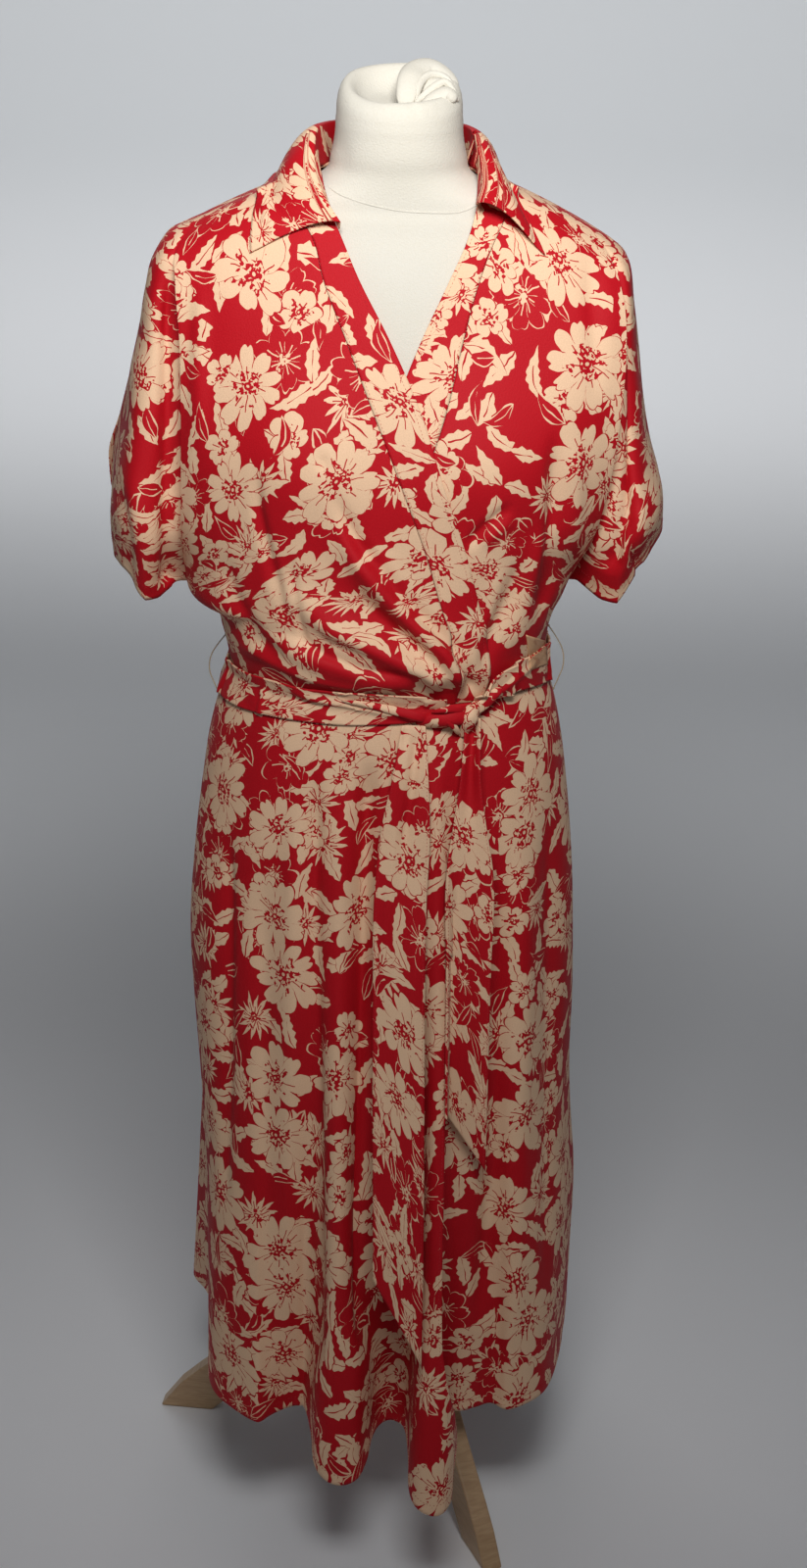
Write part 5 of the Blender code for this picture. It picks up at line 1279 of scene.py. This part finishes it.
def knotPiece():
    behind = [beltSurface] + skirtSurfaces + bodiceSurfaces
    mesh = bmesh.new()
    for number, points in enumerate(knotStrands.values()):
        line = smoothLine([(*spotOn((x, y), behind, 0.001 * lift), 0.001 * wide, 0.001 * thick)
                           for x, y, lift, wide, thick in points], 40)
        flat = (0.9 + 0.17 * number, 3.3), 20 * number
        addFold(mesh, line, sharpness=8, rest=0.03, lobes=0.09, turns=0.8, places=flat)
    weld(mesh)
    finishPiece("sash_knot_cloth", mesh, "cloth", nodes=["sash_knot"])


turnedPlan = {      # where the belt's edge is turned over; its corners are pixels of the photo
    "corners": (((537, 648), (557, 654)), ((541, 684), (559, 678))), "rows": 17, "columns": 13,
    "lift": 0.0016, "bulge": 0.0020, "wall": 0.0010,
}


def turnedPiece():      # shows the cloth's wrong side
    corners = np.array(turnedPlan["corners"], dtype=float)
    behind = [beltSurface] + bodiceSurfaces + skirtSurfaces
    points = np.empty((turnedPlan["rows"], turnedPlan["columns"], 3))
    for row, column in np.ndindex(points.shape[:2]):
        down, across = row / (turnedPlan["rows"] - 1), column / (turnedPlan["columns"] - 1)
        top, bottom = ((1 - across) * ends[0] + across * ends[1] for ends in corners)
        bulge = math.sin(math.pi * down) ** 0.6 * math.sin(math.pi * across) ** 0.6
        pixel = (1 - down) * top + down * bottom
        points[row, column] = spotOn(pixel, behind, turnedPlan["lift"] + turnedPlan["bulge"] * bulge)
    mesh = bmesh.new()
    addGrid(mesh, points, flatPlaces(points))
    piece = finishPiece("sash_turned_cloth", mesh, "wrongSide")
    addWall(piece, turnedPlan["wall"])


loopPlan = {
    "ends": {"right": (-1, 0.893, 0.836), "left": (1, 0.908, 0.846)},       # side, heights of both ends
    "bow": (0.0, 0.0060, 0.0105, 0.0118, 0.0100, 0.0052, 0.0), "points": 90,
    "length": 0.060, "pitch": 0.0032, "twist": 0.00034, "half": 0.00040, "tack": 0.0011,
    "seamY": -0.006, "off": 0.0008,
}


def threadLoop(side, sign, top, bottom):
    outside = sign * 0.4        # beside the dress, where the rays to it start
    starts = [(outside, loopPlan["seamY"], height) for height in (top, bottom)]
    seats = [np.array(nearestHit(bodiceSurfaces + skirtSurfaces, start, (-sign, 0, 0))) for start in starts]
    ends = [seat + (sign * loopPlan["off"], 0, 0) for seat in seats]
    share = np.linspace(0, 1, loopPlan["points"])[:, None]
    path = ends[0] * (1 - share) + ends[1] * share
    path[:, 0] += sign * smoothLine([(bow,) for bow in loopPlan["bow"]], loopPlan["points"])[:, 0]
    mesh = bmesh.new()
    turn = share[:, 0] * loopPlan["length"] / loopPlan["pitch"] * math.tau
    for start in (0.0, math.pi):        # two plies
        circle = np.stack([np.cos(turn + start), np.sin(turn + start), 0 * turn], axis=-1)
        ply = path + loopPlan["twist"] * circle
        tube = tubeGrid(ply, loopPlan["half"], loopPlan["half"], 8)
        addGrid(mesh, tube, tubePlaces(tube))
    for end in ends:        # the bar tacks that hold it
        seat = Matrix.Translation(Vector(end))
        bmesh.ops.create_uvsphere(mesh, u_segments=12, v_segments=8, radius=loopPlan["tack"], matrix=seat)
    weld(mesh)
    finishPiece(f"belt_loop_{side}_thread", mesh, "loopThread", nodes=[f"belt_loop_{side}"])


stitchPlan = {
    "pitch": 0.0034, "length": 0.0021, "width": 0.00040, "height": 0.00030, "lift": 0.00010,
    "hemRow": 0.955,        # the sleeve hem's row of stitches
}


def addStitches(mesh, line, normals):
    lengths = runLengths(line)
    for spot in np.arange(stitchPlan["pitch"], lengths[-1] - stitchPlan["pitch"], stitchPlan["pitch"]):
        low, high = spot - stitchPlan["length"] / 2, spot + stitchPlan["length"] / 2
        asked = (low, line), (spot, line), (high, line), (spot, normals)
        start, middle, end, out = (Vector([np.interp(at, lengths, values[:, axis]) for axis in range(3)])
                                   for at, values in asked)
        ahead, out = (end - start).normalized(), out.normalized()
        sizes = (ahead * stitchPlan["length"] / 2, ahead.cross(out) * stitchPlan["width"] / 2,
                 out * stitchPlan["height"])
        seat = Matrix.Translation(middle + out * stitchPlan["lift"]) @ Matrix(sizes).transposed().to_4x4()
        bmesh.ops.create_icosphere(mesh, subdivisions=1, radius=1.0, matrix=seat)


def topstitching():     # along rows and columns of the grids
    everywhere, hemRow = slice(None), int(np.searchsorted(upperRows, stitchPlan["hemRow"]))
    lines = []
    for band, seam, edge in ((rightBand, 1, -3), (leftBand, -2, 2)):
        lines += [(band, (everywhere, seam)), (band, (slice(8, None), edge))]
    for sleeve in (rightSleeve, leftSleeve, backLeftSleeve, backRightSleeve):
        lines.append((sleeve, (hemRow, everywhere)))
    lines += [(panel, (-4, everywhere)) for panel in (rightSkirt, leftSkirt, backSkirt)]
    lines += [(rightSkirt, (slice(6, None), -3)), (collar, (-3, everywhere))]
    for end in sashEnds.values():
        lines += [(end["points"], (slice(4, None), side)) for side in (1, -2)]
    mesh = bmesh.new()
    for points, where in lines:
        addStitches(mesh, points[where], gridNormals(points)[where])
    print("stitch triangles", 2 * len(mesh.faces))
    finishPiece("topstitching", mesh, "redThread")


knotPiece()
turnedPiece()
for side, ends in loopPlan["ends"].items():
    threadLoop(side, *ends)
topstitching()
print("sash and stitching made")


# Dress form and stand

form = Table(
    "height half front back",
    (0.5855, 0.120, 0.092, 0.094), (0.590, 0.148, 0.113, 0.118), (0.602, 0.162, 0.122, 0.130),
    (0.640, 0.168, 0.127, 0.134), (0.700, 0.163, 0.125, 0.124), (0.760, 0.150, 0.118, 0.103),
    (0.820, 0.135, 0.108, 0.087), (0.870, 0.127, 0.100, 0.077), (0.920, 0.131, 0.104, 0.081),
    (0.980, 0.142, 0.112, 0.087), (1.040, 0.152, 0.121, 0.090), (1.085, 0.159, 0.126, 0.091),
    (1.140, 0.166, 0.113, 0.090), (1.200, 0.176, 0.091, 0.082), (1.235, 0.180, 0.077, 0.074),
    (1.255, 0.175, 0.068, 0.068), (1.270, 0.162, 0.061, 0.063), (1.282, 0.146, 0.057, 0.060),
    (1.2893, 0.134, 0.054, 0.058), (1.2984, 0.1135, 0.053, 0.056), (1.308, 0.0825, 0.0525, 0.054),
    (1.318, 0.0640, 0.0525, 0.053), (1.332, 0.059, 0.0545, 0.053), (1.350, 0.0555, 0.0540, 0.053),
    (1.372, 0.0545, 0.0535, 0.053), (1.380, 0.0530, 0.0520, 0.052), (1.3845, 0.0480, 0.0470, 0.047),
)
formPlan = {
    "squareness": 2.1, "around": 180, "heightSteps": 4, "neck": (0.0545, 0.0535), "neckTop": 1.364,
    "tilt": (0.0155, 1.345, 1.388),         # how far the neck's top drops at the front, between which heights
    # the neck's top as shares of the neck's size and heights: over the lip and down into the hollow
    "lip": ((1.000, 1.3660), (0.996, 1.3740), (0.978, 1.3812), (0.940, 1.3868), (0.885, 1.3903),
            (0.825, 1.3915), (0.765, 1.3902), (0.705, 1.3868), (0.645, 1.3825), (0.560, 1.3785),
            (0.460, 1.3760), (0.340, 1.3748), (0.180, 1.3742)),
    "lipWave": 0.0011, "poles": (0.5852, 1.3741),
}
neckCreases = (
    (((411, 99), (420, 107), (432, 118)), 2.6, -1.6, (0.1, 0.4)),
    (((417, 98), (427, 107), (438, 117)), 2.8, 1.1, (0.1, 0.4)),
    (((352, 96), (372, 104), (395, 108)), 4.0, -0.8, (0.4, 0.4)),
    (((440, 112), (458, 107), (470, 98)), 4.0, -1.0, (0.3, 0.2)),
    (((341, 130), (350, 160), (345, 185)), 9.0, -1.0, (0.4, 0.4)),
)
neckFolds = {       # the gathered cover: the way a fold faces, its middle line, half width and half thickness
    "flap": ((0, -0.6, 0.8), (
        (0.0045, -0.0230, 1.3735, 0.0080, 0.0022), (0.0052, -0.0160, 1.3850, 0.0090, 0.0030),
        (0.0075, -0.0040, 1.3965, 0.0098, 0.0034), (0.0130, 0.0090, 1.4020, 0.0105, 0.0036),
        (0.0230, 0.0175, 1.4035, 0.0105, 0.0040), (0.0330, 0.0180, 1.3990, 0.0095, 0.0044),
        (0.0415, 0.0130, 1.3920, 0.0080, 0.0046), (0.0470, 0.0040, 1.3840, 0.0060, 0.0044))),
    "innerRidge": ((0, -0.6, 0.8), (
        (0.0130, -0.0190, 1.3770, 0.0026, 0.0026), (0.0155, -0.0105, 1.3885, 0.0034, 0.0030),
        (0.0205, -0.0010, 1.3960, 0.0038, 0.0032), (0.0290, 0.0050, 1.3985, 0.0038, 0.0032),
        (0.0390, 0.0055, 1.3955, 0.0032, 0.0030), (0.0455, 0.0010, 1.3890, 0.0024, 0.0026))),
    "middleRoll": ((0, -0.3, 1), (
        (0.0180, -0.0020, 1.3830, 0.0050, 0.0045), (0.0270, 0.0005, 1.3895, 0.0080, 0.0055),
        (0.0370, 0.0000, 1.3890, 0.0080, 0.0055), (0.0450, -0.0040, 1.3840, 0.0060, 0.0050),
        (0.0495, -0.0090, 1.3770, 0.0040, 0.0040))),
    "frontLip": ((0, -0.5, 0.8), (
        (0.0125, -0.0225, 1.3760, 0.0022, 0.0026), (0.0225, -0.0180, 1.3850, 0.0032, 0.0030),
        (0.0305, -0.0150, 1.3910, 0.0036, 0.0030), (0.0375, -0.0135, 1.3940, 0.0036, 0.0030),
        (0.0435, -0.0160, 1.3900, 0.0034, 0.0030), (0.0500, -0.0195, 1.3790, 0.0026, 0.0026))),
    "lowLip": ((0, -0.5, 0.8), (
        (0.0190, -0.0270, 1.3740, 0.0050, 0.0030), (0.0300, -0.0230, 1.3820, 0.0075, 0.0040),
        (0.0400, -0.0215, 1.3855, 0.0080, 0.0045), (0.0480, -0.0225, 1.3790, 0.0055, 0.0040))),
}
neckSeam = (        # pixels of the photo
    (326, 184), (338, 193), (350, 200), (370, 207), (390, 212), (410, 215.5), (430, 217), (450, 217.5),
    (466, 217), (478, 213.5), (488, 208),
)


def formRing(turn, height):
    depth = float(form.at("front" if abs(turn) <= 90 else "back", height))
    x, y = superellipse(turn, float(form.at("half", height)), depth, formPlan["squareness"])
    if y > 0:
        y += bust(x, height) * ease(height, 1.2, 1.15) * ease(height, 0.93, 1.0)
    return x, y, height


def lipRing(turn, share, height):
    x, y = superellipse(turn, *(size * share for size in formPlan["neck"]), formPlan["squareness"])
    wave = formPlan["lipWave"] * math.sin(math.radians(3 * turn + 40)) * ease(share, 1.0, 0.85) * share
    return x, y, height + wave


def formBody():     # a sphere whose rings are moved to the form's heights
    heights = between(tuple(form.keys), formPlan["heightSteps"])
    heights = heights[heights < formPlan["neckTop"]]
    rings = len(heights) + len(formPlan["lip"]) + 1
    tilt, tiltFrom, tiltTo = formPlan["tilt"]
    mesh = bmesh.new()
    bmesh.ops.create_uvsphere(mesh, u_segments=formPlan["around"], v_segments=rings, radius=1.0)
    for vertex in mesh.verts:
        polar = math.acos(max(-1.0, min(1.0, vertex.co.z)))
        ring = round((1 - polar / math.pi) * rings)
        turn = math.degrees(math.atan2(vertex.co.x, -vertex.co.y))
        if ring in (0, rings):
            vertex.co = Vector((0, 0, formPlan["poles"][ring > 0]))
            continue
        if ring <= len(heights):
            x, y, height = formRing(turn, heights[ring - 1])
        else:
            x, y, height = lipRing(turn, *formPlan["lip"][ring - len(heights) - 1])
        height -= tilt * float(ease(height, tiltFrom, tiltTo)) * y / formPlan["neck"][1]
        vertex.co = Vector((x, -y, height))
    places = np.array([vertex.co for vertex in mesh.verts])
    relief = creaseRelief(places, neckCreases) * (places[:, 2] > 1.25) * (places[:, 1] < 0)
    for vertex, amount in zip(mesh.verts, relief):
        vertex.co += Vector((vertex.co.x, vertex.co.y, 0)).normalized() * amount
    return mesh


def formPieces():
    mesh = formBody()
    surface = BVHTree.FromBMesh(mesh)
    finishPiece("form_body_jersey", mesh, "jersey", nodes=["form_body"])
    mesh = bmesh.new()
    for facing, points in neckFolds.values():
        addFold(mesh, smoothLine(points, 48), sharpness=10, rest=0.02, facing=facing, lobes=0.06, turns=0.5)
    weld(mesh)
    finishPiece("form_neck_folds", mesh, "jersey", nodes=["form_neck_gather"])
    line = smoothLine([spotOn(pixel, [surface]) for pixel in neckSeam], 120)
    tube = tubeGrid(line, 0.0008, 0.0005, 10)
    mesh = bmesh.new()
    addGrid(mesh, tube, tubePlaces(tube))
    weld(mesh)
    finishPiece("form_neck_seam", mesh, "jersey")


woodPlan = {
    "rounding": {"stand_hub": 0.0015, "stand_leg_1": 0.0022, "stand_leg_2": 0.0022, "stand_leg_3": 0.0022},
    "segments": 3, "edgeAngle": 40, "smooth": 35,
}


def woodPiece(node, rounding):      # the CAD board with rounded edges
    mesh = bmesh.new()
    mesh.from_mesh(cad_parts[node].data)
    weld(mesh, 1e-4)
    bmesh.ops.dissolve_limit(mesh, angle_limit=math.radians(1.0), verts=mesh.verts, edges=mesh.edges)
    piece = finishPiece(node + "_wood", mesh, "wood", [node], woodPlan["smooth"], shift=(0.0, 0.0))
    edge = piece.modifiers.new("rounded edges", "BEVEL")
    edge.width = rounding
    edge.segments = woodPlan["segments"]
    edge.limit_method = "ANGLE"
    edge.angle_limit = math.radians(woodPlan["edgeAngle"])


formPieces()
for node, rounding in woodPlan["rounding"].items():
    woodPiece(node, rounding)
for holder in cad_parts["stand_pole"].material_slots:
    holder.material = finishes["wood"][0]
print("form and stand made")


# Studio: a pale round sweep, soft lamps and the camera at the photo's angle

studio = {
    "radius": 8.0, "curve": 2.5, "top": 6.0, "corners": 96,
    "wall": (0.74, 0.76, 0.78), "floor": (0.93, 0.94, 0.96),
    "band": 0.85, "paintedShadeColour": (0.55, 0.555, 0.57),        # painted shade: a greyer strip across the floor behind the stand
    "air": (0.93, 0.96, 1.0), "airStrength": 0.10,
}
lamps = {       # place, target, width and height, power in watts, spread in degrees
    "lamp_front": ((0.06, -1.25, 2.10), (0.0, 0.20, 1.58), (0.7, 0.45), 11.4, 98),
    "lamp_wall": ((0.0, 3.70, 3.60), (0.0, 7.70, 0.90), (5.0, 1.2), 92, 150),
    "lamp_back": ((-0.5, 2.10, 2.40), (0.0, 0.0, 1.15), (2.0, 1.0), 7, 180),
    "lamp_floor": ((0.0, -1.05, 2.3), (0.0, -1.0, 0.0), (0.8, 0.3), 1.2, 60),
}


def makePaper():
    paper, coordinates, shader = newMaterial("studio_paper", studio["wall"], 0.7, shine=0.3)
    _, depth, height = splitAxes(Wire(coordinates["Object"]))
    shade = blendColour((height * 2.2).calc("SMOOTH_MIN", 1.0, 0.3), studio["floor"], studio["wall"])
    # painted shade: the floor greys in a soft strip behind the stand, centred at this depth
    band = (abs(depth - studio["band"]) ** 2.0 * -2.6).calc("EXPONENT")
    feed(shader["Base Color"], blendColour(band, shade, studio["paintedShadeColour"]))
    return paper


def makeBackdrop():
    foot = studio["radius"] - studio["curve"]
    turns = np.radians(np.linspace(0, 90, 13))
    curve = foot + studio["curve"] * np.sin(turns)
    out = np.concatenate([np.linspace(0.0, foot, 16)[:-1], curve, [studio["radius"]]])
    up = np.concatenate([np.zeros(15), studio["curve"] * (1 - np.cos(turns)), [studio["top"]]])
    around = np.linspace(0, math.tau, studio["corners"] + 1)[None, :]
    out, up = out[:, None], up[:, None]
    points = np.stack([out * np.cos(around), out * np.sin(around), up + 0 * around], axis=-1)
    mesh = bmesh.new()
    addGrid(mesh, points, points[..., :2])
    weld(mesh, 0.0005)
    sweep = makeObject("backdrop", mesh)
    sweep.data.materials.append(makePaper())


def addLamp(name, spot, target, size, power, spread):
    light = bpy.data.lights.new(name, "AREA")
    light.shape = "RECTANGLE"
    light.size, light.size_y = size
    light.energy = power
    light.spread = math.radians(spread)
    lamp = bpy.data.objects.new(name, light)
    lamp.location = spot
    lamp.rotation_euler = (Vector(target) - Vector(spot)).to_track_quat("-Z", "Y").to_euler()
    lamp.visible_camera = False
    bpy.context.scene.collection.objects.link(lamp)


def addCamera():
    lens = bpy.data.cameras.new("camera")
    lens.lens = lensPlan["pixels"] * lensPlan["sensor"] / lensPlan["photo"][1]
    lens.sensor_width = lensPlan["sensor"]
    lens.clip_start = 0.05
    camera = bpy.data.objects.new("camera", lens)
    bpy.context.scene.collection.objects.link(camera)
    spot = Vector(lensPlan["spot"]) + Vector((*place["formAxis"], 0.0))
    camera.matrix_world = Matrix.Translation(spot) @ lensTurn.to_4x4()
    bpy.context.scene.camera = camera


makeBackdrop()
for name, settings in lamps.items():
    addLamp(name, *settings)
addCamera()
world = bpy.data.worlds.new("studio_air")
bpy.context.scene.world = world
world.use_nodes = True
world.node_tree.nodes["Background"].inputs["Color"].default_value = (*studio["air"], 1.0)
world.node_tree.nodes["Background"].inputs["Strength"].default_value = studio["airStrength"]
bpy.context.scene.view_settings.view_transform = "Standard"
print("studio made")

bpy.context.view_layer.update()
